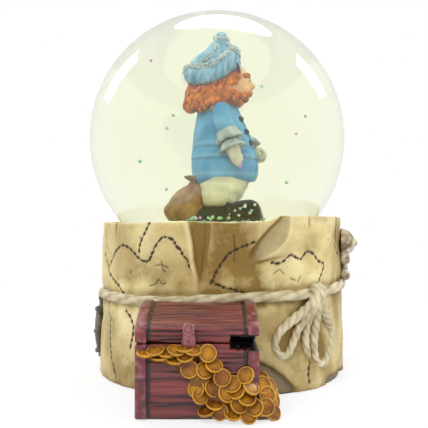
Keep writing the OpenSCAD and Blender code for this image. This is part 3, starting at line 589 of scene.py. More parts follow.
def ballArc(radius, neck, steps=72):
    # from just off the top pole down to the neck
    low = math.pi - math.asin(neck / radius)
    return [(radius * math.sin(t), globe["centre"] + radius * math.cos(t)) for t in np.linspace(0.012, low, steps)]


def makeGlobe():
    outer = ballArc(globe["outer"], globe["neck"])
    inner = ballArc(globe["inner"], globe["neckInner"])
    low = globe["neckLow"]
    lip = [(30, 47), (30, 45.2), (31.2, 44.9), (31.5, 44.2), (31.2, 43.6), (30, low), (28.6, low), (28, 43.9),
           (28, 48)]
    profile = outer + lip + inner[::-1]
    verts, rows, cols = revolve(profile)
    faces = gridFaces(rows, cols)
    total = rows * cols
    verts = list(verts) + [(0, 0, globe["centre"] + globe["outer"]), (0, 0, globe["centre"] + globe["inner"])]
    for c in range(cols):
        n = (c + 1) % cols
        faces.append((c, n, total))
        faces.append((total - cols + c, total - cols + n, total + 1))
    ball = addPiece("glassBall", verts, faces, finishes["glass"])
    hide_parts("glass_globe")
    grow = globe["overlap"]
    arc = ballArc(globe["inner"] + grow, globe["neckInner"] + grow)
    floor = globe["plugTop"] - globe["plugOverlap"]
    profile = arc + [(globe["neckInner"] + grow, floor), (20, floor), (1, floor)]
    verts, rows, cols = revolve(profile)
    verts, faces = capped(verts, rows, cols)
    fill = addPiece("liquidFill", verts, faces, finishes["liquid"])
    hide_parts("liquid_fill")


makeGlobe()
print("globe ready")

# The map base

mapBase = {
    "radius": 46.6, "shift": 1.9, "low": 0.45, "top": 58, "ropeHeight": 32.5, "ropeTilt": 2.3, "seat": 50.6,
    "rows": 158, "frontColumns": 440, "backColumns": 92, "seed": 7, "dash": 2.3,
}
# routes of the inked coasts and cracks, each an angle from the front and a height
coasts = [
    [(-32.5, 58), (-35, 54.5), (-37.5, 51), (-38.5, 48)],
    [(-63, 42), (-57, 46.5), (-50, 50), (-44, 48.5), (-39.5, 46), (-36, 44.6), (-32.5, 45.6), (-29.5, 50), (-26, 53),
     (-22, 52.5), (-18.5, 49.5), (-15.5, 46), (-13.2, 42)],
    [(-72, 46), (-66, 42.5), (-60, 38.5), (-52, 34.8), (-46, 31.5)],
    [(-5.2, 38.2), (-2, 43), (2, 47.4), (7, 49.6), (13, 51.6)],
    [(-4.6, 38.8), (-2.5, 37.4), (0.5, 36.6), (5, 35.8), (9, 34.6), (11, 33.5)],
    [(20, 44.8), (24.5, 44.6), (28.5, 47.2), (32, 46.6), (34.5, 45.4), (38.5, 47.8), (42, 47.6), (46, 44.6), (50, 43),
     (47, 38.5), (44.5, 35.6)],
    [(-64, 29), (-62, 23), (-61, 18), (-59, 10), (-54, 3)],
    [(39.5, 10), (38.2, 7), (38.4, 3)],
    [(-46, 27), (-41, 22), (-43, 14)],
    [(62, 50), (68, 46), (72, 50), (78, 44)],
]
plainLines = [
    [(4.6, 54), (4.8, 50), (4.6, 45)], [(-29.5, 43.4), (-26.5, 43.8), (-23.5, 43)],
    [(-26.5, 45), (-26, 42.6), (-24.8, 41.6)], [(-32.5, 36.6), (-30, 37), (-28, 38.8), (-26.4, 37.4), (-24.6, 37.8)],
    [(21, 41), (23.5, 42.2), (26, 41)], [(29, 39.2), (31.5, 38.6)], [(-61, 28), (-60.5, 24), (-58.5, 22.4)],
    [(-45, 40.4), (-43.4, 41)], [(33, 38), (34.4, 39.6)], [(-38, 53), (-36.4, 52.6)],
]


def ropeHeightAt(angle):
    # the rope's middle; angle in degrees from the front
    return mapBase["ropeHeight"] + math.tan(math.radians(mapBase["ropeTilt"])) * (
        mapBase["shift"] + mapBase["radius"] * np.sin(np.radians(angle)))


def routeDistance(angle, height, route):
    # how far each point on the skin is from a route, and how far along it, in mm
    scale = math.radians(1) * mapBase["radius"]
    px, py = angle * scale, height
    best, along, run = np.full(np.shape(px), 99.0), np.zeros(np.shape(px)), 0.0
    route = smoothPath(route, 4)
    for (a0, z0), (a1, z1) in zip(route[:-1], route[1:]):
        x0, y0, x1, y1 = a0 * scale, z0, a1 * scale, z1
        dx, dy = x1 - x0, y1 - y0
        t = np.clip(((px - x0) * dx + (py - y0) * dy) / (dx * dx + dy * dy), 0, 1)
        away = np.hypot(px - x0 - t * dx, py - y0 - t * dy)
        along = np.where(away < best, run + t * math.hypot(dx, dy), along)
        best = np.minimum(best, away)
        run += math.hypot(dx, dy)
    return best, along


def wanderingRoutes():
    # coasts for the back of the base
    rng = random.Random(mapBase["seed"])
    routes = []
    for start, height in ((92, 50), (118, 22), (150, 48), (178, 20), (206, 50), (232, 24), (262, 46)):
        a, z, heading = start, height, rng.uniform(-0.5, 0.5)
        route = [(a, z)]
        for _ in range(9):
            heading += rng.uniform(-1.1, 1.1)
            heading = max(-1.3, min(1.3, heading))
            a, z = a + 4.2 * math.cos(heading), z + 3.4 * math.sin(heading)
            if not 3 < z < 57:
                break
            route.append((a, z))
        if len(route) > 3:
            routes.append([tuple(p) for p in smoothPath(route, 2)])
    return routes


def baseSkin(angle, height):
    # radius and paint marks of the sheet at each angle and height
    a = np.where(angle > 180, angle - 360, angle)
    z = height
    r = np.full(a.shape, float(mapBase["radius"])) + 1.1 * ((60 - z) / 60) ** 2
    shade = np.zeros(a.shape)
    under = np.zeros(a.shape)
    # crumpled sheet
    crumple = np.array([
        noise.fractal(Vector((math.sin(math.radians(p)) * 3.2, math.cos(math.radians(p)) * 3.2, q / 15)), 1.0, 2.1, 4)
        for p, q in zip(a.ravel(), z.ravel())]).reshape(a.shape)
    r += 0.7 * crumple
    shade += np.clip(-crumple * 0.6, 0, 0.35)
    # the valley between the two edges of the sheet, deepest at the rim
    tall = ease(33, 45, z)
    leftEdge = np.interp(z, [40, 45, 52, 57, 60], [-10.8, -12.3, -13, -14.4, -15.8])
    ridgeLine = -6.4 - (58 - z) * 0.13
    inside = ease(0, 1.0, a - leftEdge) * (1 - ease(13, 16, a))
    floor = -2.4 * inside * tall
    ridge = 1.0 * np.exp(-((a - ridgeLine) / 0.75) ** 2) * ease(31, 40, z)
    slope = 1.7 * ease(-5, 15, a) * inside * tall
    r += floor + ridge + slope
    deep = inside * (1 - ease(-0.6, 1.6, a - ridgeLine))
    shade += 0.95 * deep * ease(36, 52, z) + 0.42 * inside * tall * (1 - ease(2, 16, a)) + 0.15 * inside * tall
    shade += 0.5 * np.exp(-((a - leftEdge - 0.7) / 0.6) ** 2) * tall
    shade += 0.5 * np.exp(-((a - ridgeLine - 3.4) / 3.0) ** 2) * (1 - ease(36, 50, z)) * ease(30, 35, z)
    shade += 0.4 * np.exp(-((z - 33.5) / 2.6) ** 2) * ease(-12, -6, a) * (1 - ease(10, 18, a))
    r += 0.8 * np.exp(-((a - leftEdge + 1.2) / 1.3) ** 2) * tall
    # painted highlight: the raised left edge of the sheet and the ridge are lighter
    wear_and_highlight = (0.7 * np.exp(-((a - leftEdge + 0.9) / 1.0) ** 2) * tall
            + 0.6 * np.exp(-((a - ridgeLine) / 0.5) ** 2) * ease(31, 40, z))
    # the turned-over corner of the right-hand sheet: its underside is a leaf between two curves
    near = np.interp(z, [44, 45.7, 48.5, 52, 55.9, 59, 60.5], [11.8, 12.1, 13.2, 15.6, 20.0, 24.6, 26.6])
    far = np.interp(z, [44, 45.7, 48.5, 52, 55.9, 59, 60.5], [12.0, 14.2, 20.6, 25.2, 27.0, 27.4, 27.2])
    t = ease(43.5, 48, z)
    across = np.clip((a - near) / np.maximum(far - near, 0.5), 0, 1)
    r += t * (2.3 * across ** 1.5 * (1 - ease(0, 15, a - far)) - 1.1 * np.exp(-((a - near + 0.5) / 0.9) ** 2))
    between = ease(-0.2, 0.5, a - near) * (1 - ease(-0.5, 0.3, a - far)) * ease(44, 45.5, z)
    # painted shade on the underside of the turned-over corner, a painted shadow along its near edge, and a painted
    # highlight along its far edge
    under += 0.62 * between * (1 - 0.35 * across)
    shade += 0.65 * np.exp(-((a - near + 0.2) / 0.8) ** 2) * t
    wear_and_highlight += 0.7 * np.exp(-((a - far - 0.7) / 0.8) ** 2) * t
    # its lower edge runs on as a step in the sheet
    step = np.interp(a, [11, 15, 22, 30, 45], [44.2, 44.6, 46, 46.6, 46])
    beyond = ease(11, 13, a) * (1 - ease(20, 27, a))
    r += 0.6 * beyond * (1 - ease(-0.5, 0.5, z - step)) * ease(30, 40, z)
    shade += 0.55 * beyond * np.exp(-((z - step - 0.4) / 0.6) ** 2)
    # creases that run down from the rim
    for place, top, depth, width in ((40.4, 55, 1.8, 0.8), (-55, 50, 0.5, 0.9), (-70, 38, 0.9, 1.1),
                                     (66, 44, 0.8, 1.4), (101, 47, 1.2, 1.3), (152, 40, 1.4, 1.2),
                                     (-118, 44, 1.3, 1.3), (-160, 50, 1.0, 1.1), (28, 50, -0.5, 2.6),
                                     (56, 38, -0.6, 2.4), (-48, 50, -0.4, 3)):
        k = np.exp(-((a - place) / width) ** 2) * ease(top, 59, z)
        r -= depth * k
        if depth > 0:
            shade += 0.6 * k
    # pulled in under the rope, and gathered just above and below it
    gap = z - ropeHeightAt(a)
    r -= 0.9 * np.exp(-(gap / 2.4) ** 2)
    gather = (0.30 * np.sin(np.radians(a) * 37 + 2.2 * np.sin(np.radians(a) * 5))
              * np.exp(-((np.abs(gap) - 4) / 3.2) ** 2))
    r += gather
    shade += 0.3 * np.exp(-((np.abs(gap) - 2.4) / 1.2) ** 2) + np.clip(-gather, 0, 1) * 0.5
    # the lower edge of the sheet, lifted and torn at the right
    edge = np.interp(a, [-180, -150, -140, -125, -70, 11, 14, 20, 26, 31, 34, 46, 53, 64, 75, 84, 100, 140, 155, 180],
                     [3.5, 2.5, 5.5, 1.2, 0, 0, 12, 9.5, 5.8, 1.6, 0, 0, 2.6, 3.4, 3.0, 1.4, 0.4, 1.0, 6.0, 3.5])
    below = 1 - ease(-0.35, 0.35, z - edge)
    r -= 1.7 * below * ease(1.5, 2.6, edge + 0 * z)
    # painted shade beneath the lifted edge of the sheet
    shade += 0.7 * below * ease(1.5, 2.6, edge + 0 * z)
    # broad darkening: painted shade in the valley and under the bow, and a faint darkening on the left sheet
    shade += 0.24 * ease(-6, -2, a) * (1 - ease(11, 20, a)) * ease(30, 38, z)
    shade += 0.26 * ease(10, 20, a) * (1 - ease(34, 46, a)) * (1 - ease(26, 33, z))
    shade += 0.09 * ease(-62, -50, a) * (1 - ease(-26, -18, a)) * ease(34, 40, z)
    # painted shade beneath the lifted edge, in the underside mark as well
    under += 0.8 * below * ease(1.5, 2.6, edge + 0 * z)
    shade += 0.35 * np.exp(-((z - edge) / 1.2) ** 2)
    # inked lines, cut in as short strokes
    crack = np.zeros(a.shape)
    wobble = np.array([noise.noise(Vector((p * 0.3, q * 0.35, 4.0)))
                       for p, q in zip(a.ravel(), z.ravel())]).reshape(a.shape)
    whole = np.where(angle < -80, angle + 360, angle)
    for route, reach, force, dashed in ([(line, 0.36, 1.0, True) for line in coasts]
                                        + [(line, 0.24, 0.55, False) for line in plainLines]
                                        + [(line, 0.95, 1.0, True) for line in wanderingRoutes()]):
        where = whole if reach > 0.9 else a
        away, along = routeDistance(where + wobble * 0.5, z + wobble * 0.4, route)
        phase = along / mapBase["dash"] + wobble * 0.6
        stroke = 0.5 + 0.5 * np.cos(2 * math.pi * phase) if dashed else 0.6 + 0 * along
        width = reach * (0.62 + 0.6 * stroke) * (1 + 0.35 * wobble)
        crack = np.maximum(crack, force * np.exp(-(away / width) ** 2) * (0.45 + 0.55 * ease(0.06, 0.35, stroke)))
    r -= 0.4 * crack
    shade += 0.25 * np.clip(crack * 1.5, 0, 1)
    broad = np.array([noise.fractal(Vector((math.sin(math.radians(p)) * 2.1, math.cos(math.radians(p)) * 2.1 + 5,
                                            q / 26)), 1.0, 2.0, 3)
                      for p, q in zip(a.ravel(), z.ravel())]).reshape(a.shape)
    shade += np.clip(0.35 * broad + 0.06, 0, 0.4) + 0.16 * (1 - ease(4, 30, z))
    for ca, cz, wa, wz, depth in ((27, 18.5, 3.6, 4.2, 1.0), (47.5, 15, 3.4, 5.4, 0.9), (34, 24, 4, 4, 0.5),
                                  (41, 12, 3, 7, 0.45), (62, 26, 4, 9, 0.5), (79, 45, 14, 12, 0.45)):
        shade += depth * np.exp(-((a - ca) / wa) ** 2 - ((z - cz) / wz) ** 2)
    # painted highlight on the crests of the crumples and along the top of the rim
    wear_and_highlight += np.clip(crumple * 0.7, 0, 0.4) + 0.5 * ease(56.6, 58, z)
    return r, shade, under, crack, wear_and_highlight


def makeMapBase():
    front = np.linspace(-80, 80, mapBase["frontColumns"] + 1)[:-1]
    back = np.linspace(80, 280, mapBase["backColumns"] + 1)[:-1]
    angles = np.concatenate([front, back])
    cols = len(angles)
    sin, cos = np.sin(np.radians(angles)), np.cos(np.radians(angles))
    rim = mapBase["top"] + np.interp(np.where(angles > 180, angles - 360, angles),
                                     [-180, -120, -80, -45, -20, 0, 14, 20, 25, 30, 45, 56, 75, 90, 130, 180],
                                     [0, -0.4, -0.4, -0.3, 0, -0.1, 0, 0.7, 2.1, 2.2, 2.2, 1.9, 1.6, 0.8, -0.2, 0])
    rim += np.array([0.3 * noise.noise(Vector((s * 9, c * 9, 1))) for s, c in zip(sin, cos)])
    rim -= 1.3 * np.exp(-((angles - 40.4) / 0.8) ** 2)
    share = np.linspace(0, 1, mapBase["rows"])[:, None]
    height = mapBase["low"] + (rim[None, :] - mapBase["low"]) * share
    angle = np.broadcast_to(angles[None, :], height.shape)
    radius, shade, under, crack, wear_and_highlight = baseSkin(angle, height)

    def ring(r, z, centred=True):
        x = r * sin + (0 if centred else mapBase["shift"])
        return np.stack([x, -r * cos, np.broadcast_to(z, (cols,)) + 0 * sin], axis=1)

    rings, marks = [], []

    def push(points, *given):
        rings.append(points)
        marks.append([np.broadcast_to(given[i] if i < len(given) else 0.0, (cols,)) for i in range(4)])

    # from the middle of the chamber's roof, down and out, up the outside, over the rim and down the seat
    for r, z in ((0.5, 37.5), (20, 37.5), (37.5, 37.5), (37.5, 25), (37.5, 12.5), (39.8, 12.5), (39.8, 1.4),
                 (40.1, 1.22)):
        push(ring(r, z), 0.25)
    push(ring(np.full(cols, 45.75), 1.22, False), 0.4)
    push(ring(radius[0] - 0.5, mapBase["low"], False), 0.4)
    for i in range(mapBase["rows"]):
        push(ring(radius[i], height[i], False), shade[i], under[i], crack[i], wear_and_highlight[i])
    top = radius[-1]
    # painted highlight along the outer edge of the rim; painted shade on its inner slope and down the seat under the
    # globe
    push(ring(top - 0.35, rim + 0.22, False), shade[-1] * 0.6, under[-1] * 0.5, crack[-1], 0.6)
    push(ring(top - 0.9, rim + 0.28, False), shade[-1] * 0.4, 0, 0, 0.6)
    push(ring(top - 1.7, rim + 0.10, False), 0.2)
    push(ring(top - 2.3, rim - 0.5, False), 0.5)
    push(ring(np.full(cols, 41.0), 57.3), 0.35)
    for t in np.linspace(0, 1, 9):
        z = 57.1 - t * (57.1 - 51.6)
        push(ring(np.full(cols, math.sqrt(mapBase["seat"] ** 2 - (globe["centre"] - z) ** 2)), z), 0.3)
    for r, z in ((32.3, 51.4), (32.3, 46), (32.3, 40.5), (20, 40.5), (0.5, 40.5)):
        push(ring(np.full(cols, float(r)), z), 0.3)
    verts, faces = capped(np.vstack(rings), len(rings), cols)
    names = ("shade", "under", "crack", "wear_and_highlight")
    values = {name: np.concatenate([np.concatenate([m[i] for m in marks]), [0, 0]]) for i, name in enumerate(names)}
    base = addPiece("mapBase", verts, faces, finishes["parchment"], marks=values)
    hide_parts("map_base")


makeMapBase()
print("map base ready")

# Rope and bow

rope = {"radius": 1.72, "strands": 3, "pitch": 9.5, "depth": 0.3, "knotAngle": 42, "bowRadius": 1.5, "steps": 900}


def skinPoint(angle, z, off):
    a = math.radians(angle)
    r = mapBase["radius"] + off
    return (mapBase["shift"] + r * math.sin(a), -r * math.cos(a), z)


def ropeShade(verts, seed, grooves):
    # painted shade lies between the strands, over a random darker tone
    return [0.12 + 0.55 * noise.noise(Vector(v) / 2.6 + Vector((seed, 0, 0))) + 0.7 * max(0, g - 0.3)
            for v, g in zip(verts, grooves)]


def makeRope():
    steps = rope["steps"]
    path = []
    for i in range(steps):
        a = 360 * i / steps - 180
        z = float(ropeHeightAt(a)) + 0.35 * math.sin(math.radians(a) * 5 + 1)
        path.append(skinPoint(a, z, 0.4))
    path = np.asarray(path)
    sides = 16
    verts, grooves, length = [], [], 0.0
    for i in range(steps):
        length += np.linalg.norm(path[(i + 1) % steps] - path[i])
    turns = round(length / rope["pitch"])
    for i in range(steps):
        tangent = path[(i + 1) % steps] - path[i - 1]
        tangent /= np.linalg.norm(tangent)
        out = path[i] - np.array([mapBase["shift"], 0, path[i][2]])
        out /= np.linalg.norm(out)
        up = np.cross(out, tangent)
        for k in range(sides):
            a = 2 * math.pi * k / sides
            twist = rope["strands"] * a - 2 * math.pi * turns * i / steps
            crest = abs(math.cos(twist / 2))
            grooves.append(1 - crest)
            swell = rope["radius"] * (1 + rope["depth"] * (crest - 0.75))
            verts.append(path[i] + swell * (math.cos(a) * out * 0.92 + math.sin(a) * up * 1.06))
    faces = gridFaces(steps, sides)
    last = (steps - 1) * sides
    faces += [(last + k, last + (k + 1) % sides, (k + 1) % sides, k) for k in range(sides)]
    verts = roughen(verts, 0.14, 3.2, 3)
    band = addPiece("ropeBand", verts, faces, finishes["rope"], marks={"shade": ropeShade(verts, 1, grooves)})
    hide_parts("rope_band")


def makeBow():
    r = rope["bowRadius"]
    strands = {
        "left": [(41, 33, 2.4), (37.5, 29.5, 2.6), (32, 26.5, 1.7), (26.5, 23.5, 0.9), (22.5, 20, 0.7),
                 (21.6, 16.4, 0.6), (24, 13.4, 0.6), (27.6, 13.8, 0.7), (30, 17.6, 0.8), (32.4, 22, 1.1),
                 (35.5, 26, 1.9), (39.5, 30.5, 2.8)],
        "right": [(42.5, 33, 2.4), (46, 28, 2.2), (50, 24, 1.4), (54, 20, 0.8), (54.4, 15, 0.6), (51, 9.6, 0.6),
                  (47, 8.2, 0.6), (43.4, 10.4, 0.6), (41.6, 15.4, 0.8), (42, 21, 1.1), (42, 26, 1.9), (42, 31, 2.6)],
        "tail": [(41.5, 32.5, 2.9), (39, 28, 2.3), (37.2, 23.5, 1.3), (36.6, 18.5, 0.9), (37.6, 13.6, 0.8),
                 (38.6, 11.4, 0.7)],
    }
    parts, grooves = [], []
    for key, route in strands.items():
        path = smoothPath([skinPoint(*p) for p in route], 16)
        along = np.linspace(0, 1, len(path))
        if key == "tail":
            width = r * np.interp(along, [0, 0.3, 0.85, 1], [1.1, 0.95, 0.8, 0.5])
        else:
            width = r * np.interp(along, [0, 0.15, 0.35, 0.65, 0.85, 1], [1.25, 1.15, 0.9, 0.85, 1.0, 1.25])
        parts.append(tubeParts(path, width, sides=15, lobes=3, lobeDepth=0.14, pitch=9.5, grooves=grooves))
    # the knot: two wraps round the band
    for lean, off in ((-1.5, 2.7), (1.5, 3.0)):
        loop = []
        for i in range(15):
            t = math.pi * (0.08 + 0.84 * i / 14)
            loop.append(skinPoint(rope["knotAngle"] + lean, 33.0 - 3.2 * math.cos(t), off * math.sin(t) + 0.2))
        parts.append(tubeParts(loop, r * 1.02, sides=14, lobes=3, lobeDepth=0.2, pitch=9, grooves=grooves))
    verts, faces = joinParts(parts)
    verts = roughen(verts, 0.12, 2.6, 5)
    bow = addPiece("ropeBow", verts, faces, finishes["rope"], marks={"shade": ropeShade(verts, 2, grooves)})
    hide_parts("rope_bow")


makeRope()
makeBow()
print("rope ready")

# The chest

chest = {
    "left": -24.55, "right": 12.15, "front": -72.0, "back": -43.5, "low": 0.3, "seam": 22.5, "gap": 0.3,
    "lidFront": 27.4, "lidBack": 31.9, "strap": 3.6, "strapProud": 0.8, "holeLeft": 3.4, "holeLow": 21.0,
    "holeHigh": 24.9, "plankLine": 12.2,
}


def closedProfile(points, spacing, rounding):
    # a closed outline in y and z with rounded corners, sampled evenly
    p = np.asarray(points, dtype=float)
    out = []
    for i in range(len(p)):
        before, here, after = p[i - 1], p[i], p[(i + 1) % len(p)]
        a, b = before - here, after - here
        la, lb = np.linalg.norm(a), np.linalg.norm(b)
        cut = min(rounding, la / 2.2, lb / 2.2)
        start, end = here + a / la * cut, here + b / lb * cut
        out += [start, 0.25 * start + 0.5 * here + 0.25 * end, end]
    out.append(out[0])
    out = np.asarray(out)
    run = np.concatenate([[0], np.cumsum(np.linalg.norm(np.diff(out, axis=0), axis=1))])
    count = int(run[-1] / spacing)
    at = np.linspace(0, run[-1], count, endpoint=False)
    return np.stack([np.interp(at, run, out[:, 0]), np.interp(at, run, out[:, 1])], axis=1)


def slab(profile, x0, x1, step, relief):
    # the outline run along x; relief(x, y, z, normal) gives a depth and marks
    count = len(profile)
    ahead, behind = np.roll(profile, -1, axis=0), np.roll(profile, 1, axis=0)
    normal = np.stack([(ahead - behind)[:, 1], -(ahead - behind)[:, 0]], axis=1)
    normal /= np.linalg.norm(normal, axis=1)[:, None]
    middle = profile.mean(axis=0)
    if np.sum((profile - middle) * normal) < 0:
        normal = -normal
    xs = np.linspace(x0, x1, max(int((x1 - x0) / step), 2))
    rows, marks = [], []
    for j, x in enumerate(xs):
        depth, mark = relief(x, profile[:, 0], profile[:, 1], normal)
        if j in (0, len(xs) - 1):
            depth = depth - 0.35
        yz = profile + normal * depth[:, None]
        rows.append(np.stack([np.full(count, x), yz[:, 0], yz[:, 1]], axis=1))
        marks.append(mark)
    # each end closes in rings, so its grain reads as upright boards
    centre = profile.mean(axis=0)
    for end, inset in ((0, True), (-1, False)):
        x, outline, given = rows[end][0][0], rows[end][:, 1:], marks[end]
        added, addedMarks = [], []
        for share in (0.9, 0.72, 0.54, 0.36, 0.18):
            yz = centre + (outline - centre) * share
            tone = np.array([noise.noise(Vector((v * 0.9, w * 0.15, 3))) for v, w in yz])
            board = np.exp(-(((yz[:, 0] - centre[0] + 60) % 7 - 3.5) / 0.35) ** 2)
            added.append(np.stack([np.full(count, x), yz[:, 0], yz[:, 1]], axis=1))
            addedMarks.append({n: {"wear_and_highlight": np.clip(tone, 0, 1), "groove": board}.get(n, np.zeros(count))
                               for n in given})
        if inset:
            rows, marks = added[::-1] + rows, addedMarks[::-1] + marks
        else:
            rows, marks = rows + added, marks + addedMarks
    verts, faces = capped(np.vstack(rows), len(rows), count)
    names = marks[0].keys()
    return verts, faces, {n: np.concatenate([np.concatenate([m[n] for m in marks]), [0, 0]]) for n in names}


def woodRelief(x, y, z, normal):
    # long grain along x, plank lines, and the broken corner under the lid
    grain = np.array([noise.noise(Vector((x * 0.045, (v + w) * 1.35, 2)))
                      + 0.5 * noise.noise(Vector((x * 0.12, (v - w) * 2.9, 7)))
                      for v, w in zip(y, z)])
    cut = np.clip(-grain - 0.12, 0, 1)
    depth = -0.75 * cut + 0.12 * grain
    line = np.exp(-((z - chest["plankLine"]) / 0.28) ** 2) * (np.abs(normal[:, 0]) > 0.5)
    for place in (5.2, 18.3):
        line = np.maximum(line, 0.6 * np.exp(-((z - place) / 0.2) ** 2) * (np.abs(normal[:, 0]) > 0.5))
    depth -= 0.5 * line
    # painted shade: the inside of the broken corner is painted near black
    hollow_shade = np.zeros(len(z))
    if x > chest["holeLeft"] - 1.5:
        jag = 0.5 * noise.noise(Vector((x * 0.9, 1.5, 0)))
        within = ease(0, 0.8, x - chest["holeLeft"] + jag) * ease(-0.3, 0.3, z - chest["holeLow"] - jag)
        within = within * (1 - ease(-0.3, 0.3, z - chest["holeHigh"] - jag))
        hollow_shade = within * (y < chest["front"] + 14)
    depth = depth - 4.0 * hollow_shade * (y < chest["front"] + 6)
    # a line inside each strap
    if min(abs(x - chest["left"] - chest["strap"] - 0.5), abs(x - chest["right"] + chest["strap"] + 0.5)) < 0.4:
        line = np.maximum(line, 0.9)
    # lighter along the grain as wear, and lighter on upward faces as a painted highlight
    wear_and_highlight = np.clip(grain * 1.1 + 0.05, 0, 1) * 0.7 + 0.35 * np.clip(normal[:, 1], 0, 1) * np.clip(grain + 0.4, 0, 1)
    return depth, {"wear_and_highlight": wear_and_highlight * (1 - hollow_shade), "groove": np.clip(cut * 2.2 + line, 0, 1), "hollow_shade": hollow_shade}


def strapRelief(x, y, z, normal):
    n = np.array([noise.noise(Vector((x * 0.5, v * 0.5, w * 0.5))) for v, w in zip(y, z)])
    line = np.exp(-((z - chest["plankLine"]) / 0.3) ** 2) * (np.abs(normal[:, 0]) > 0.5)
    # painted shade: the strap is painted near black beside the broken corner
    hollow_shade = (ease(20.3, 20.8, z) * (1 - ease(25.0, 25.4, z)) if x > 0 else 0 * z) * (y < chest["front"] + 8)
    nearStrap = min(abs(x - chest["left"] - chest["strap"]), abs(x - chest["right"] + chest["strap"])) < 0.5
    edge = np.full(len(z), 0.9 if nearStrap else 0.0)
    return 0.16 * n - 0.3 * line, {"wear_and_highlight": np.clip(n * 1.6 + 0.1, 0, 1), "groove": np.maximum(line, edge),
                                   "hollow_shade": hollow_shade}


def bodyOutline(proud):
    c = chest
    return [(c["front"] + 0.8 - proud, c["low"]), (c["front"] + 0.8 - proud, c["seam"]), (c["back"], c["seam"]),
            (c["back"], c["low"])]


def lidOutline(proud):
    c = chest
    low = c["seam"] + c["gap"]
    points = [(c["front"] + 0.8 - proud, low), (c["front"] + 0.8 - proud, c["lidFront"])]
    for t in np.linspace(0.12, 1, 9):
        y = c["front"] + 0.8 + t * (-49 - c["front"])
        z = c["lidFront"] + (c["lidBack"] - c["lidFront"]) * (1 - (1 - t) ** 2.1) + 0.1
        points.append((y, z + proud * 0.8 - 0.1))
    return points + [(c["back"], c["lidBack"] - 0.2 + proud * 0.8), (c["back"], low)]


def makeChest():
    inset = chest["strapProud"]
    x0, x1 = chest["left"] + inset, chest["right"] - inset
    for name, outline, node in (("chestBody", bodyOutline(0), "chest_body"),
                                ("chestLid", lidOutline(0), "chest_lid")):
        verts, faces, marks = slab(closedProfile(outline, 0.34, 0.7), x0, x1, 0.5, woodRelief)
        piece = addPiece(name, verts, faces, finishes["chestRed"], marks=marks)
        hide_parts(node)
    parts, kept = [], []
    for outline in (bodyOutline(inset), lidOutline(inset)):
        for start in (chest["left"], chest["right"] - chest["strap"]):
            rail = closedProfile(outline, 0.5, 0.7)
            # each strap is a plate with a dark line down its inner side
            for a, b in ((start, start + chest["strap"]),):
                if outline[0][1] < 5 and start > 0:
                    trimmed = [(y, min(z, chest["holeLow"])) for y, z in outline]
                    rail = closedProfile(trimmed, 0.5, 0.7)
                if outline[0][1] > 20 and start > 0:
                    trimmed = [(y, max(z, chest["holeHigh"]) if y < chest["front"] + 4 else z) for y, z in outline]
                    rail = closedProfile(trimmed, 0.5, 0.7)
                verts, faces, marks = slab(rail, a, b, 0.45, strapRelief)
                parts.append((verts, faces))
                kept.append(marks)
    verts, faces = joinParts(parts)
    straps = addPiece("chestStraps", verts, faces, finishes["strapRed"],
                      marks={key: np.concatenate([m[key] for m in kept]) for key in kept[0]})
    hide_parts("chest_straps")


def makeHasp():
    # a tongue from the lid with a round boss over a square plate
    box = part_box("chest_hasp")
    x = (box[0][0] + box[1][0]) / 2 / mm + 3.8
    front = chest["front"]
    parts = [
        ballParts((x, front - 0.2, 27.2), (1.9, 1.5, 1.9)),
        tubeParts([(x - 1.2, front - 0.9, 27.8), (x - 1.5, front - 1.3, 26.4), (x, front - 1.5, 25.4),
                   (x + 1.5, front - 1.3, 26.4), (x + 1.2, front - 0.9, 27.8)], 0.45, 10),
        loftParts([(x, front, 21.6, 1.6, 0.6), (x, front - 0.3, 22.1, 2.1, 1.0), (x, front - 0.4, 24, 2.0, 1.1),
                   (x, front - 0.4, 25.6, 1.8, 1.1), (x, front - 0.2, 26.6, 1.3, 0.9)], 20, 4),
        ballParts((x, front - 1.3, 23.7), (0.5, 0.45, 0.5), 8, 12),
    ]
    verts, faces = joinParts(parts)
    hasp = addPiece("chestHasp", verts, faces, finishes["strapRed"],
                    marks={"wear_and_highlight": [0.6 + 0.8 * noise.noise(Vector(v)) for v in verts]})
    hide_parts("chest_hasp")


def coinSource():
    # a coin with a raised rim and a soft boss, lying flat
    rings = [(0.02, 0.34), (1.0, 0.30), (1.8, 0.24), (2.22, 0.2), (2.3, 0.4), (2.52, 0.44), (2.68, 0.3), (2.74, 0),
             (2.68, -0.3), (2.5, -0.42), (1.2, -0.42), (0.02, -0.42)]
    sides = 30
    verts = [(r * math.cos(2 * math.pi * k / sides), r * math.sin(2 * math.pi * k / sides), z) for r, z in rings
             for k in range(sides)]
    verts, faces = capped(verts, len(rings), sides)
    # painted highlight on the raised rim; painted shade in the groove inside the rim and on the underside
    rim = np.concatenate([np.repeat([0.1, 0, 0, 0.1, 0.8, 0.9, 0.8, 0.4, 0.3, 0.2, 0, 0], sides), [0.1, 0]])
    shade = np.concatenate([np.repeat([0.15, 0.2, 0.4, 0.8, 0.3, 0, 0, 0.1, 0.3, 0.3, 0.3, 0.3], sides), [0.1, 0.3]])
    return sourceObject("coinSource", verts, faces, marks={"rim": rim, "shade": shade})


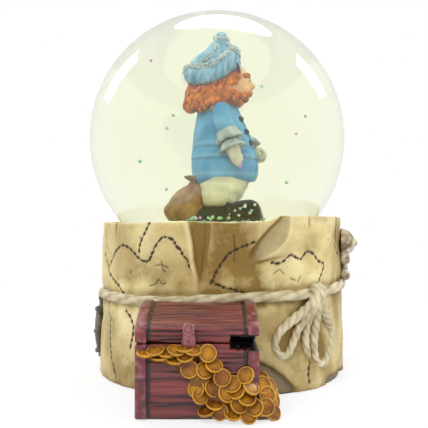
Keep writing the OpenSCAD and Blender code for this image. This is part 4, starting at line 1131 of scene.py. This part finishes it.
def makeCoins():
    front = chest["front"]
    # x, height, how far out, lean back, lean sideways
    flat = [
        (-21.2, 20.2, 0.6, 74, 12), (-18.4, 20.9, 0.9, 68, -14), (-15.2, 20.1, 0.7, 76, 8),
        (-12.2, 21.0, 1.2, 66, 20), (-17.0, 18.9, 0.5, 80, -8), (-12.6, 18.2, 0.8, 72, 10), (-9.6, 19.7, 1.8, 52, -6),
        (-7.4, 21.2, 1.6, 64, 12), (-3.0, 20.2, 1.3, 14, 10), (-8.4, 15.6, 1.5, 8, -6), (-4.0, 15.2, 1.1, 26, 24),
        (-1.2, 16.6, 0.8, 50, 20), (-6.4, 9.8, 1.0, 18, -26), (-1.6, 9.9, 1.3, 28, 34), (1.2, 13.2, 2.0, 10, 4),
        (4.2, 11.2, 1.4, 34, -18), (2.4, 8.6, 2.6, 30, 30), (5.4, 9.3, 2.0, 40, -34), (-5.2, 8.0, 1.6, 20, 26),
        (-1.0, 5.6, 1.6, 60, 10), (0.4, 3.4, 2.2, 16, -12), (6.0, 5.4, 2.6, 34, 26), (8.0, 13.8, 1.6, 30, -30),
        (9.6, 10.4, 2.0, 44, 40), (10.6, 4.6, 2.4, 24, -20), (-3.4, 3.4, 1.1, 62, -30), (4.2, 2.8, 2.4, 58, 20),
        (8.4, 7.4, 2.9, 50, 8), (-9.8, 21.4, 1.0, 82, 4), (8.8, 2.4, 2.6, 30, 14),
    ]
    places, turns, sizes = [], [], []
    for x, z, out, back, side in flat:
        places.append((x, front - out * 0.8, z))
        turns.append((math.radians(90 - back), 0, math.radians(side)))
        sizes.append(1.0)
    # the heap beside the chest
    for x, y, z, rx, rz in ((13.6, -69.2, 7.8, 48, 40), (16.0, -67.6, 5.2, 62, 60), (14.2, -65.4, 10.0, 24, 10),
                            (16.6, -63.2, 7.4, 44, 80), (12.9, -71.4, 4.0, 70, 20), (15.2, -70.4, 2.9, 66, 45),
                            (13.4, -62.6, 9.6, 30, 120), (17.0, -65.6, 2.9, 70, 70), (12.6, -67.6, 11.4, 40, -10),
                            (15.4, -60.6, 5.4, 56, 110), (13.6, -60.0, 8.2, 36, 100), (12.0, -64.6, 12.4, 14, 30),
                            (14.4, -71.4, 7.6, 78, 24), (16.7, -69.6, 5.0, 84, 52), (14.0, -72.6, 4.4, 74, 10),
                            (16.4, -70.6, 2.2, 70, 40), (17.6, -66.6, 5.6, 86, 78), (15.4, -68.8, 9.6, 58, 50),
                            (13.2, -70.6, 10.4, 62, 20)):
        places.append((x, y, z))
        turns.append((math.radians(rx), 0, math.radians(rz)))
        sizes.append(1.0)
    source = coinSource()
    coins = scatter("goldCoins", source, places, turns, sizes, finishes["gold"])
    parts = []
    for x, z, r in ((-19, 19.8, 2.6), (-14.5, 19.2, 3.2), (-9.5, 17.2, 4.0), (-5, 12.6, 4.8), (0.4, 8.6, 6.2),
                    (6, 6.6, 6.2)):
        parts.append(ballParts((x, front + r * 0.62, z), (r, r, r), 14, 22))
    parts.append(ballParts((12.4, -65.6, 3.4), (5.4, 6.8, 7.0), 18, 28))
    verts, faces = joinParts(parts)
    verts = roughen(verts, 0.6, 2.2, 9)
    verts[:, 2] = np.maximum(verts[:, 2], 0.1)
    # painted shade: the heap under the coins is darkened all over, as the gaps between them
    heap = addPiece("coinHeap", verts, faces, finishes["gold"], marks={"shade": [0.75] * len(verts)})
    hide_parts("coin_heap")


makeChest()
makeHasp()
makeCoins()
print("chest ready")

# Reliefs


def carved(name, node, mat, voxel=0.35, amount=0.25, size=2.2, soften=4):
    # the CAD shape worked over like a hand-cut pattern: remeshed, softened and uneven
    mesh = nodes[node].data.copy()
    work = bmesh.new()
    work.from_mesh(mesh)
    bmesh.ops.remove_doubles(work, verts=work.verts, dist=1e-6)
    work.to_mesh(mesh)
    work.free()
    draft = bpy.data.objects.new(name + "Draft", mesh)
    scene.collection.objects.link(draft)
    remesh = draft.modifiers.new("remesh", "REMESH")
    remesh.mode = "VOXEL"
    remesh.voxel_size = voxel * mm
    soft = draft.modifiers.new("soft", "SMOOTH")
    soft.iterations = soften
    result = bpy.data.meshes.new_from_object(draft.evaluated_get(bpy.context.evaluated_depsgraph_get()))
    bpy.data.objects.remove(draft)
    verts = np.array([v.co for v in result.vertices]) / mm
    faces = [tuple(p.vertices) for p in result.polygons]
    rough = roughen(verts, amount, size, 6)
    wear_and_highlight = [0.5 + noise.noise(Vector(v) / 1.8) for v in rough]
    piece = addPiece(name, rough, faces, mat, marks={"shade": wear_and_highlight})
    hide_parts(node)
    return piece


carved("shipWheel", "ship_wheel", finishes["iron"], 0.3, 0.15)
carved("skullRelief", "skull_relief", finishes["bone"], 0.35, 0.3)
carved("anchorRelief", "anchor_relief", finishes["iron"], 0.3, 0.15)
print("reliefs ready")

# The figure

figure = {"slope": 0.4, "slopeFrom": 8.5, "slopeReach": 9, "x": 2.0, "ground": 65.0, "seed": 21}


def placed(verts):
    return np.asarray(verts, dtype=float) + np.array([figure["x"], 0, figure["ground"]])


def figurePiece(name, parts, look, node, marks=None, rough=0.12, size=2.5):
    verts, faces = joinParts(parts)
    verts = roughen(placed(verts), rough, size, 4)
    values = {k: [f(v) for v in (verts - np.array([figure["x"], 0, figure["ground"]]))]
              for k, f in (marks or {}).items()}
    piece = addPiece(name, verts, faces, finishes[look], marks=values)
    if node:
        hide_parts(node)
    return piece


def bump(x, centre, width):
    return math.exp(-((x - centre) / width) ** 2)


def makeBootsAndTrousers():
    parts = []
    for side in (-1, 1):
        y = side * 4.1
        stations = [(1.6, y, -9.9, 0.3, 0.4), (2.3, y, -9.6, 2.0, 1.9), (2.6, y, -7.6, 2.6, 2.9),
                    (2.7, y, -3.5, 2.8, 3.0), (3.1, y, 1.0, 3.2, 3.1), (3.5, y, 5.0, 3.7, 3.6),
                    (3.6, y, 8.0, 3.8, 3.9), (3.2, y, 10.2, 3.2, 3.3), (2.6, y, 11.2, 1.9, 2.1),
                    (2.4, y, 11.5, 0.2, 0.3)]

        def wrinkles(a, t, h):
            return 1 + 0.02 * math.sin(4.2 * h) * bump(h, -2, 5) + 0.012 * math.sin(9 * a + h)
        verts, faces = loftParts(stations, 36, 6, wrinkles, axis="x")
        verts[:, 2] = np.where(verts[:, 2] < 0.25, 0.05, verts[:, 2])
        parts.append((verts, faces))
        # welt round the sole, and a strap over the instep
        parts.append(tubeParts(smoothPath([(-9.6, y, 0.7), (-8.6, y + 2.4 * side, 0.6), (0, y + 3.2 * side, 0.6),
                                           (7, y + 4.2 * side, 0.6), (11.8, y, 0.7)], 6), 0.45, 8))
        parts.append(tubeParts([(1.2, y + side * 3.3 * math.sin(t), 3.2 - 3.5 * math.cos(t))
                                for t in np.linspace(0.7, 3.1, 14)], 0.55, 8))
    figurePiece("pirateBoots", parts, "boots", "pirate_boots")
    parts = []
    for side in (-1, 1):
        y = side * 3.7

        def folds(a, t, h):
            return 1 + 0.018 * math.sin(h * 1.9 + 2 * math.cos(a)) + 0.02 * math.sin(3 * a + h * 0.5)
        parts.append(loftParts([(-1.9, y, 5.0, 3.0, 2.2), (-1.8, y, 5.5, 4.3, 3.2), (-1.6, y, 6.6, 5.0, 3.7),
                                (-1.2, y, 8.4, 5.6, 4.1), (-0.4, y, 11, 6.6, 4.4), (0, y, 13.8, 7.0, 4.5)], 32, 8,
                                folds))
    figurePiece("pirateTrousers", parts, "trousers", "pirate_trousers",
                {"shade": lambda v: 0.55 * bump(v[2], 5.8, 0.9) + 0.5 * bump(v[2], 13.6, 1.2)
                 + 0.2 * max(0, noise.noise(Vector(v) * 0.5))})


def makeCoat():
    def shape(a, t, h):
        belt = 0.022 * bump(h, 19.6, 0.3) + 0.022 * bump(h, 23.2, 0.3)
        fold = 0.014 * math.sin(5 * a + 0.6) * (1 - min(1, max(0, (h - 12) / 10)))
        seam = 0.025 * bump(a, 5.05, 0.05) * (h > 21)
        return 1 - belt + fold - seam
    stations = [(0.2, 0, 14.2, 5.0, 5.0), (0.2, 0, 13.2, 8.0, 7.5), (0.2, 0, 13.4, 8.9, 8.3),
                (0.3, 0, 15.0, 9.5, 8.8), (0.3, 0, 17.4, 9.7, 9.0), (0.1, 0, 20, 9.6, 8.9), (-0.2, 0, 23.4, 9.0, 8.6),
                (-0.8, 0, 27.5, 7.9, 8.0), (-1.3, 0, 31, 6.8, 7.4), (-1.7, 0, 34.6, 5.6, 6.4),
                (-1.8, 0, 37, 4.0, 4.4)]
    # the back hem hangs lower than the front
    verts, faces = loftParts(stations, 64, 8, shape)
    low = np.clip((18 - verts[:, 2]) / 4, 0, 1)
    verts[:, 2] += low * (0.04 * verts[:, 0] + 0.55 * np.sin(np.arctan2(verts[:, 1], verts[:, 0]) * 3))
    parts = [(verts, faces)]
    # front edge of the coat
    table = np.array(sorted((h, cx, rx, ry) for cx, cy, h, rx, ry in stations[2:]))

    def coatFront(h, y):
        # the coat's front at a height and a side step
        cx, rx, ry = (np.interp(h, table[:, 0], table[:, i]) for i in (1, 2, 3))
        return cx + rx * math.sqrt(max(1 - (y / ry) ** 2, 0.05))
    front = smoothPath([(coatFront(h, y) - 0.05, y, h)
                        for h, y in ((34.5, -1.6), (31, -1.9), (28, -2.0), (25, -2.1), (21, -2.2), (17, -2.4),
                                     (14.8, -2.6))], 6)
    parts.append(tubeParts(front, 0.4, 8))
    # painted shade in the belt grooves, at the hem and on the near side beside the sleeve; painted highlights along
    # the edges above the grooves and the hem
    figurePiece("pirateCoat", parts, "coat", "pirate_coat", {
        "shade": lambda v: 0.8 * bump(v[2], 19.6, 0.35) + 0.8 * bump(v[2], 23.2, 0.35) + 0.5 * bump(v[2], 13.0, 0.7)
        + 0.5 * bump(v[0], -0.6, 1.5) * bump(v[2], 28.5, 4.5) * (v[1] < -5),
        "wear_and_highlight": lambda v: 0.5 * bump(v[2], 20.4, 0.5) + 0.5 * bump(v[2], 24.0, 0.5) + 0.4 * bump(v[2], 15.0, 0.6)})
    buttons = [ballParts((coatFront(z, y) + 0.1, y, z), (0.9, 0.9, 0.9), 10, 16)
               for y, z in ((-2.9, 31.4), (-3.2, 27.6), (-3.4, 24.4))]
    figurePiece("coatButtons", buttons, "dark", "coat_buttons", rough=0.03)


def frill(centre, direction, radius, length, waves, flare):
    # a gathered cuff: a short flared sleeve with a scalloped lip
    d = Vector(direction).normalized()
    side = d.orthogonal().normalized()
    up = d.cross(side)
    verts, sides = [], 48
    rows = [(0.0, 0.80), (0.15, 0.98), (0.45, 1.04), (0.8, 1.08 + flare), (1.0, 1.12 + flare), (1.04, 0.98),
            (0.9, 0.6), (0.9, 0.1)]
    for t, scale in rows:
        for k in range(sides):
            a = 2 * math.pi * k / sides
            wave = 1 + 0.09 * t * math.cos(waves * a)
            reach = length * (t + 0.08 * t * math.cos(waves * a))
            p = Vector(centre) + d * reach + (side * math.cos(a) + up * math.sin(a)) * radius * scale * wave
            verts.append(tuple(p))
    return capped(verts, len(rows), sides)


def makeArms():
    near = [(-0.9, -5.4, 35.0), (-0.6, -7.4, 32.4), (0.1, -8.8, 29.4), (0.9, -9.4, 27.0)]
    far = [(0.4, 5.4, 34), (2.2, 8.0, 31), (3.6, 9.2, 28), (5.2, 9.2, 25.4)]
    parts = []
    for route in (near, far):
        path = smoothPath(route, 7)
        width = np.interp(np.linspace(0, 1, len(path)), [0, 0.15, 0.6, 1], [2.2, 2.9, 3.05, 2.9])
        parts.append(tubeParts(path, width, 26))
    # painted shade where each sleeve goes into its cuff, and a lighter band round the middle of each sleeve
    figurePiece("pirateSleeves", parts, "coat", "pirate_sleeves",
                {"shade": lambda v: 0.5 * bump(v[2], 26.4, 0.8), "wear_and_highlight": lambda v: 0.4 * bump(v[2], 30, 2)},
                rough=0.2)
    cuffs = [
        frill((0.7, -9.3, 28.0), (0.32, -0.12, -1), 3.2, 3.4, 6, 0.14),
        frill((1.7, -9.8, 24.4), (0.34, -0.08, -1), 2.9, 2.4, 6, 0.22),
        frill((5.0, 9.0, 26.4), (0.8, -0.4, -0.9), 3.0, 3.6, 7, 0.08),
    ]
    figurePiece("pirateCuffs", cuffs, "cuff", "pirate_cuffs",
                {"shade": lambda v: 0.5 + 0.9 * noise.noise(Vector(v) * 0.9)}, rough=0.15)
    hand = tubeParts(smoothPath([(2.2, -10.0, 23.4), (3.0, -10.3, 21.0), (3.8, -10.3, 18.6), (4.7, -10.2, 16.7)], 5),
                     np.interp(np.linspace(0, 1, 16), [0, 0.35, 0.7, 1], [2.3, 2.1, 1.5, 0.6]), 18)
    thumb = tubeParts(smoothPath([(3.4, -9.4, 21.4), (4.6, -9.2, 19.8), (5.0, -9.5, 18.4)], 5), [0.9] * 10 + [0.6],
                      10)
    fist = [ballParts((10.0, 6.9, 22.2), (1.9, 2.3, 2.2), 14, 20)]
    for i in range(4):
        fist.append(tubeParts(smoothPath([(10.3, 5.2 + i * 1.05, 23.7), (11.4, 5.1 + i * 1.05, 22.6),
                                          (11.2, 5.2 + i * 1.05, 21.2), (10.1, 5.3 + i * 1.05, 20.7)], 4), 0.62, 8))
    figurePiece("pirateHands", [hand, thumb] + fist, "glove", "pirate_hands", rough=0.08)


def makeHead():
    def skull(a, t, h):
        # cheeks forward, flatter at the temples
        return 1 + 0.05 * math.cos(a) * bump(h, 39.6, 2.2) - 0.03 * bump(h, 44, 1.5)
    parts = [loftParts([(1.8, 0, 35.4, 1.5, 1.5), (1.8, 0, 35.9, 3.4, 3.2), (1.9, 0, 38, 5.2, 5.0),
                        (1.9, 0, 40.6, 5.7, 5.6), (1.7, 0, 43.2, 5.5, 5.5), (1.4, 0, 45.6, 4.4, 4.6),
                        (1.2, 0, 46.8, 2.4, 2.6)], 40, 6, skull),
             ballParts((7.5, 0, 40.9), (1.35, 1.2, 1.15), 12, 18),
             ballParts((6.8, 0, 42.3), (0.9, 0.75, 1.5), 12, 16)]
    for side in (-1, 1):
        parts.append(ballParts((7.2, 0.85 * side, 40.5), (0.8, 0.7, 0.65), 10, 14))
        parts.append(ballParts((6.1, 2.9 * side, 39.8), (1.2, 1.5, 1.3), 12, 16))
        parts.append(ballParts((1.2, 5.6 * side, 41), (1.0, 0.7, 1.6), 12, 16))
    figurePiece("pirateHead", parts, "skin", "pirate_head", rough=0.06)
    eyes, pupils = [], []
    for side in (-1, 1):
        eyes.append(ballParts((6.4, 1.9 * side, 42.3), (0.9, 0.85, 0.75), 10, 16))
        pupils.append(ballParts((7.05, 2.0 * side, 42.3), (0.32, 0.38, 0.42), 8, 12))
    whites = figurePiece("pirateEyes", eyes, "eye", None, rough=0)
    black = figurePiece("piratePupils", pupils, "dark", None, rough=0)
    return whites, black


def makeHair():
    rng = random.Random(figure["seed"])
    parts = [loftParts([(-1.6, 0, 34.2, 2.0, 2.0), (-2.0, 0, 34.8, 5.2, 5.0), (-2.3, 0, 36.2, 6.7, 6.2),
                        (-2.2, 0, 38.6, 7.0, 6.5), (-1.8, 0, 41, 6.6, 6.2), (-1.4, 0, 44, 6.0, 5.8),
                        (-1.2, 0, 45, 3, 3)], 36, 6),
             ballParts((2.9, 0, 37.2), (3.2, 4.8, 2.6), 14, 24)]
    # locks hang from under the hat and end in a curl
    for layer, (count, top, low, reach) in enumerate(((28, 43.6, 36.6, 1.0), (30, 41.0, 35.0, 1.05),
                                                      (24, 38.6, 34.2, 1.03))):
        for i in range(count):
            a = 2 * math.pi * (i + 0.5 * (layer % 2)) / count + rng.uniform(-0.06, 0.06)
            front = math.cos(a)
            if front > 0.55 and top > 41:
                continue
            foot = low + (3.0 if front > 0.3 else 0.0) + rng.uniform(-0.5, 0.7)
            head = top if front < 0.35 else min(top, 39.2)
            path = []
            sway = rng.uniform(-0.5, 0.5)
            for k in range(9):
                t = k / 8
                z = head + (foot - head) * t
                rx = np.interp(z, [32, 35, 38, 41, 44], [6.6, 7.7, 7.9, 7.3, 6.3]) * reach
                ry = rx * 0.89
                w = a + 0.16 * math.sin(5.2 * t + sway * 3) + 0.05 * sway
                path.append((-2.3 + rx * math.cos(w), ry * math.sin(w), z))
            end = path[-1]
            for k in range(1, 5):
                c = k / 4 * math.pi * 1.2
                path.append((end[0] + math.cos(a) * (0.9 * math.sin(c)), end[1] + math.sin(a) * (0.9 * math.sin(c)),
                             end[2] - 0.2 + 0.8 * (1 - math.cos(c)) * 0.6))
            path = smoothPath(path, 3)
            width = np.interp(np.linspace(0, 1, len(path)), [0, 0.2, 0.7, 1], [0.45, 0.85, 0.8, 0.35])
            parts.append(tubeParts(path, width, 9))
    # moustache and brows
    for side in (-1, 1):
        parts.append(tubeParts(smoothPath([(7.5, 0.2 * side, 39.3), (7.2, 1.6 * side, 38.9), (6.0, 3.2 * side, 38.4),
                                           (4.4, 4.6 * side, 39.0)], 6),
                               np.interp(np.linspace(0, 1, 19), [0, 0.4, 1], [0.7, 1.0, 0.4]), 10))
        parts.append(tubeParts(smoothPath([(6.9, 0.8 * side, 43.5), (6.6, 2.2 * side, 44.0), (5.6, 3.6 * side, 43.6)],
                                          6), 0.7, 10))
        for lock, (drop, swing) in enumerate(((0, 0), (-1.0, 0.7), (-2.2, 0.2))):
            parts.append(tubeParts(smoothPath([(4.0 - lock * 1.1, 4.0 * side, 45.2),
                                               (4.2 - lock * 1.2, 5.0 * side, 43.6 + swing * 0.3),
                                               (3.2 - lock * 1.1, 5.6 * side, 42.2),
                                               (3.4 - lock, 5.9 * side, 41.2 + drop * 0.3)], 6),
                                               [0.5] + [0.8] * 17 + [0.4], 9))
    figurePiece("pirateHair", parts, "hair", "pirate_hair",
                {"shade": lambda v: 0.5 + 1.1 * noise.noise(Vector(v) * 0.8)}, rough=0.15, size=1.6)


hat = {
    # along the brim from its back to its front: x, lower edge, upper edge, half width
    "x": [-11.4, -10.6, -8.6, -5.6, -2.8, 0.0, 2.4, 3.9, 4.6],
    "low": [43.8, 42.2, 41.2, 41.2, 42.0, 43.3, 45.0, 46.4, 47.2],
    "high": [44.6, 46.2, 46.4, 46.4, 47.3, 49.6, 51.4, 50.2, 48.6],
    "half": [0.7, 3.4, 5.6, 6.9, 7.2, 7.0, 6.0, 4.2, 1.8],
}


def makeHat():
    steps = 48
    u = np.linspace(0, 1, steps)
    knots = np.linspace(0, 1, len(hat["x"]))
    curve = {k: smoothPath([[a, b] for a, b in zip(knots, hat[k])], 8) for k in hat}
    at = {k: np.interp(u, c[:, 0], c[:, 1]) for k, c in curve.items()}
    parts, edges = [], []
    for side in (-1, 1):
        # each side is a thick roll that leans out from the crown
        rows = []
        for i in range(steps):
            x, low, high, half = (at[k][i] for k in ("x", "low", "high", "half"))
            puff = 1 + 0.10 * math.sin(i * 0.9)
            section = []
            for t, out in ((0.5, -1.6), (0.12, -1.0), (-0.02, -0.1), (0.05, 0.9), (0.28, 1.5), (0.55, 1.6),
                           (0.82, 1.15), (0.99, 0.6), (1.04, -0.1), (0.98, -0.8), (0.8, -1.3)):
                z = low + (high - low) * t
                lean = half - 1.0 * t
                section.append((x, side * max(lean + out * puff, 0.02), z))
            rows.append(section)
        verts = [p for row in rows for p in row]
        parts.append(capped(verts, steps, len(rows[0])))
        edges.append([(at["x"][i], side * max(at["half"][i] - 0.1, 0.3), at["high"][i]) for i in range(2, steps - 3)])

    def creases(a, t, h):
        return 1 + 0.03 * math.sin(7 * a) * min(1, max(0, (h - 46) / 3)) + 0.02 * math.sin(3 * a + h)
    parts.append(loftParts([(-1.6, 0, 42.4, 6.0, 5.4), (-2.2, 0, 44.5, 7.4, 6.4), (-2.6, 0, 47, 7.2, 6.3),
                            (-1.9, 0, 49.4, 5.6, 5.2), (-1.2, 0, 51.2, 3.8, 3.7), (-0.9, 0, 52.8, 2.6, 2.5),
                            (-0.8, 0, 54.0, 1.7, 1.7), (-0.8, 0, 55.2, 1.5, 1.4), (-0.8, 0, 55.7, 0.9, 0.8)], 40, 7,
                            creases))
    figurePiece("pirateHat", parts, "hat", "pirate_hat", {
        "shade": lambda v: 0.3 + 0.9 * noise.noise(Vector(v) * 0.7) + 0.6 * bump(v[2], 47.2, 0.8) * (v[0] < 1),
        "wear_and_highlight": lambda v: 0.35 + 0.9 * noise.noise(Vector(v) * 1.6 + Vector((5, 0, 0)))}, rough=0.25)
    # silvery braid of small beads along each upper edge, over the crown and round the tip
    bead, faces = ballParts((0, 0, 0), (0.42, 0.42, 0.42), 6, 8)
    source = sourceObject("braidSource", bead, faces)
    places, turns, sizes = [], [], []
    rng = random.Random(figure["seed"] + 1)
    lines = [smoothPath(edge, 3) for edge in edges]
    for side in (-1, 1):
        lines.append(smoothPath([(-7.8, 4.2 * side, 46.6), (-5.6, 5.4 * side, 48.4), (-3.2, 4.6 * side, 50.2),
                                 (-1.8, 2.8 * side, 52.6)], 9))
        lines.append(smoothPath([(2.6, 3.6 * side, 50.2), (1.6, 2.8 * side, 51.8), (0.9, 1.6 * side, 53.8)], 9))
    lines.append(np.array([(-0.8 + 1.8 * math.cos(w), 1.8 * math.sin(w), 54.0) for w in np.linspace(0, 6.2, 26)]))
    for line in lines:
        for i in range(0, len(line), 2):
            for k in (-1, 0, 1):
                p = line[i] + np.array([rng.uniform(-0.3, 0.3), rng.uniform(-0.15, 0.15), 0.42 * k])
                places.append(placed([p])[0])
                turns.append((rng.uniform(0, 3), rng.uniform(0, 3), 0))
                sizes.append(rng.uniform(0.6, 1.25))
    braid = scatter("hatBraid", source, places, turns, sizes, finishes["trim"])
    strap = [tubeParts(smoothPath([(2.4, s * 5.6, 48.0), (3.6, s * 5.2, 46.8), (4.2, s * 4.9, 45.2),
                                   (4.2, s * 4.8, 43.8)], 5), 0.6, 8) for s in (-1, 1)]
    figurePiece("hatStrap", strap, "dark", None, rough=0.04)


def makeSack():
    def pleats(a, t, h):
        return 1 + 0.07 * math.sin(9 * a) * min(1, max(0, (h - 6) / 5)) + 0.04 * math.sin(3 * a + h)
    parts = [loftParts([(-9.8, -1.6, 0.05, 3.4, 3.8), (-10.4, -1.6, 0.5, 5.4, 5.4), (-11.2, -1.6, 3.4, 6.3, 6.2),
                        (-10.8, -1.6, 6.8, 5.9, 6.0), (-9.6, -1.6, 9.8, 4.4, 4.7),
                        (-8.4, -1.6, 12.0, 2.6, 2.8), (-7.9, -1.6, 13.0, 1.7, 1.9), (-8.1, -1.6, 13.7, 2.1, 2.3),
                        (-8.9, -1.6, 14.6, 2.9, 2.6), (-8.9, -1.6, 14.3, 1.6, 1.5), (-8.7, -1.6, 13.4, 0.4, 0.4)], 44,
                        6, pleats)]
    tie = [(-8.0 + 2.0 * math.cos(a), -1.6 + 2.2 * math.sin(a), 13.1 + 0.5 * math.cos(a))
           for a in np.linspace(0, 2 * math.pi, 25)]
    parts.append(tubeParts(tie, 0.42, 8, lobes=2, pitch=3))
    figurePiece("lootSack", parts, "sack", "loot_sack",
                {"shade": lambda v: 0.35 + 0.9 * noise.noise(Vector(v) * 0.35) + 0.6 * bump(v[2], 13, 0.7)},
                rough=0.3)


def groundFall(y):
    # how far the ground drops in front of the boots
    return figure["slope"] * np.clip(-figure["slopeFrom"] - y, 0, figure["slopeReach"])


def makeGround():
    # a low pale mound under the feet
    top = figure["ground"]
    def edge(a, t, h):
        return 1 + 0.02 * math.sin(5 * a + 1) + 0.015 * math.sin(11 * a)
    parts = [loftParts([(0, 0, 52.6, 26.3, 26.3), (0, 0, 53.4, 26.4, 26.4), (0, 0, 56.2, 26.0, 26.0),
                        (0, 0, 59, 23.6, 23.6), (0, 0, 62.4, 20, 20), (0, 0, top - 0.7, 17.6, 17.6),
                        (0, 0, top, 16.2, 16.2), (0, 0, top, 8, 8)], 72, 6, edge)]
    verts, faces = joinParts(parts)
    lumps = np.array([0.35 * noise.noise(Vector((v[0] / 3, v[1] / 3, 0))) for v in verts])
    verts[:, 2] += np.where(verts[:, 2] > top - 2, lumps - 0.2, lumps * 0.5)
    # it falls away in front of the boots
    verts[:, 2] -= groundFall(verts[:, 1]) * np.clip((verts[:, 2] - 58) / 5, 0, 1)
    ground = addPiece("sceneGround", verts, faces, finishes["sand"])
    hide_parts("scene_ground")


def glitterFinish(name, colour):
    mat = bpy.data.materials.new(name)
    mat.use_nodes = True
    tree = mat.node_tree
    shader = tree.nodes["Principled BSDF"]
    place = tree.nodes.new("ShaderNodeTexCoord").outputs["Object"]
    tone = linkNew(tree, "ShaderNodeTexNoise", Vector=place, Scale=900.0, Detail=2.0).outputs[0]
    tree.links.new(rampOf(tree, tone, [(0.3, tuple(c * 0.6 for c in colour)), (0.65, colour)]),
                   shader.inputs["Base Color"])
    shader.inputs["Metallic"].default_value = 0.3
    shader.inputs["Roughness"].default_value = 0.2
    return mat


def makeGlitter():
    flake = [(0.55 * math.cos(math.pi * k / 3), 0.55 * math.sin(math.pi * k / 3), z) for z in (-0.05, 0.05)
             for k in range(6)]
    verts, faces = capped(flake, 2, 6)
    source = sourceObject("flakeSource", verts, faces)
    rng = random.Random(figure["seed"] + 2)
    colours = {
        "Pink": ((0.85, 0.30, 0.75), [(-7.5, -6.3, 40.0), (5.2, -10.9, 17.2), (4.9, -11.0, 16.6), (22, -14, 26),
                                      (-20, 6, 48), (14, 12, 60)]),
        "Aqua": ((0.35, 0.80, 0.90), [(24, -6, 32), (8.5, -8.6, 3.2), (5.0, -8.2, 4.0), (-18, -20, 8), (10, 18, 42),
                                      (-24, 4, 20)]),
        "Silver": ((0.82, 0.86, 0.90), [(6.4, -8.2, 4.6), (3.4, -7.9, 3.4), (8.0, -8.0, 2.6), (-16, 10, 30)]),
        "Green": ((0.45, 0.88, 0.35), [(-4.0, -9.4, 0.4), (1.5, -10.6, 0.5), (12.5, -8.5, 0.4), (18, 4, 14),
                                       (-14, 14, 34)]),
    }
    first = True
    for key, (colour, spots) in colours.items():
        places, turns, sizes = [], [], []
        for x, y, z in spots:
            places.append(placed([(x, y, z)])[0])
            turns.append((rng.uniform(-0.5, 0.5) + 1.5, rng.uniform(-0.4, 0.4), rng.uniform(-0.4, 0.4)))
            sizes.append(rng.uniform(0.8, 1.1))
        for _ in range(12):
            a, r = rng.uniform(0, 6.28), rng.uniform(10.5, 15.6)
            y = r * math.sin(a)
            places.append((r * math.cos(a), y, figure["ground"] + 0.15 - groundFall(y)))
            turns.append((rng.uniform(-0.9, 0.9), rng.uniform(-0.9, 0.9), rng.uniform(0, 3)))
            sizes.append(rng.uniform(0.7, 1.1))
        for _ in range(5 if key == "Silver" else 0):
            # on the near boot
            places.append(placed([(rng.uniform(1, 9.6), -7.6 + rng.uniform(-0.5, 0.1), rng.uniform(1.6, 6.0))])[0])
            turns.append((1.5 + rng.uniform(-0.4, 0.4), rng.uniform(-0.4, 0.4), rng.uniform(-0.4, 0.4)))
            sizes.append(rng.uniform(0.5, 1.0))
        for _ in range(1 if key in ("Silver", "Pink") else 5):
            places.append(placed([(rng.uniform(-11, 0), -9.6 + rng.uniform(-0.8, 0.8), rng.uniform(0.3, 1.0))])[0])
            turns.append((1.3 + rng.uniform(-0.5, 0.5), rng.uniform(-0.4, 0.4), rng.uniform(-0.4, 0.4)))
            sizes.append(rng.uniform(0.8, 1.15))
        flakes = scatter("glitter" + key, source, places, turns, sizes, glitterFinish("glitter" + key, colour))
        if first:
            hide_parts("glitter_flakes")
            first = False


makeGround()
makeBootsAndTrousers()
makeCoat()
makeArms()
makeHead()
makeHair()
makeHat()
makeSack()
makeGlitter()
print("figure ready")
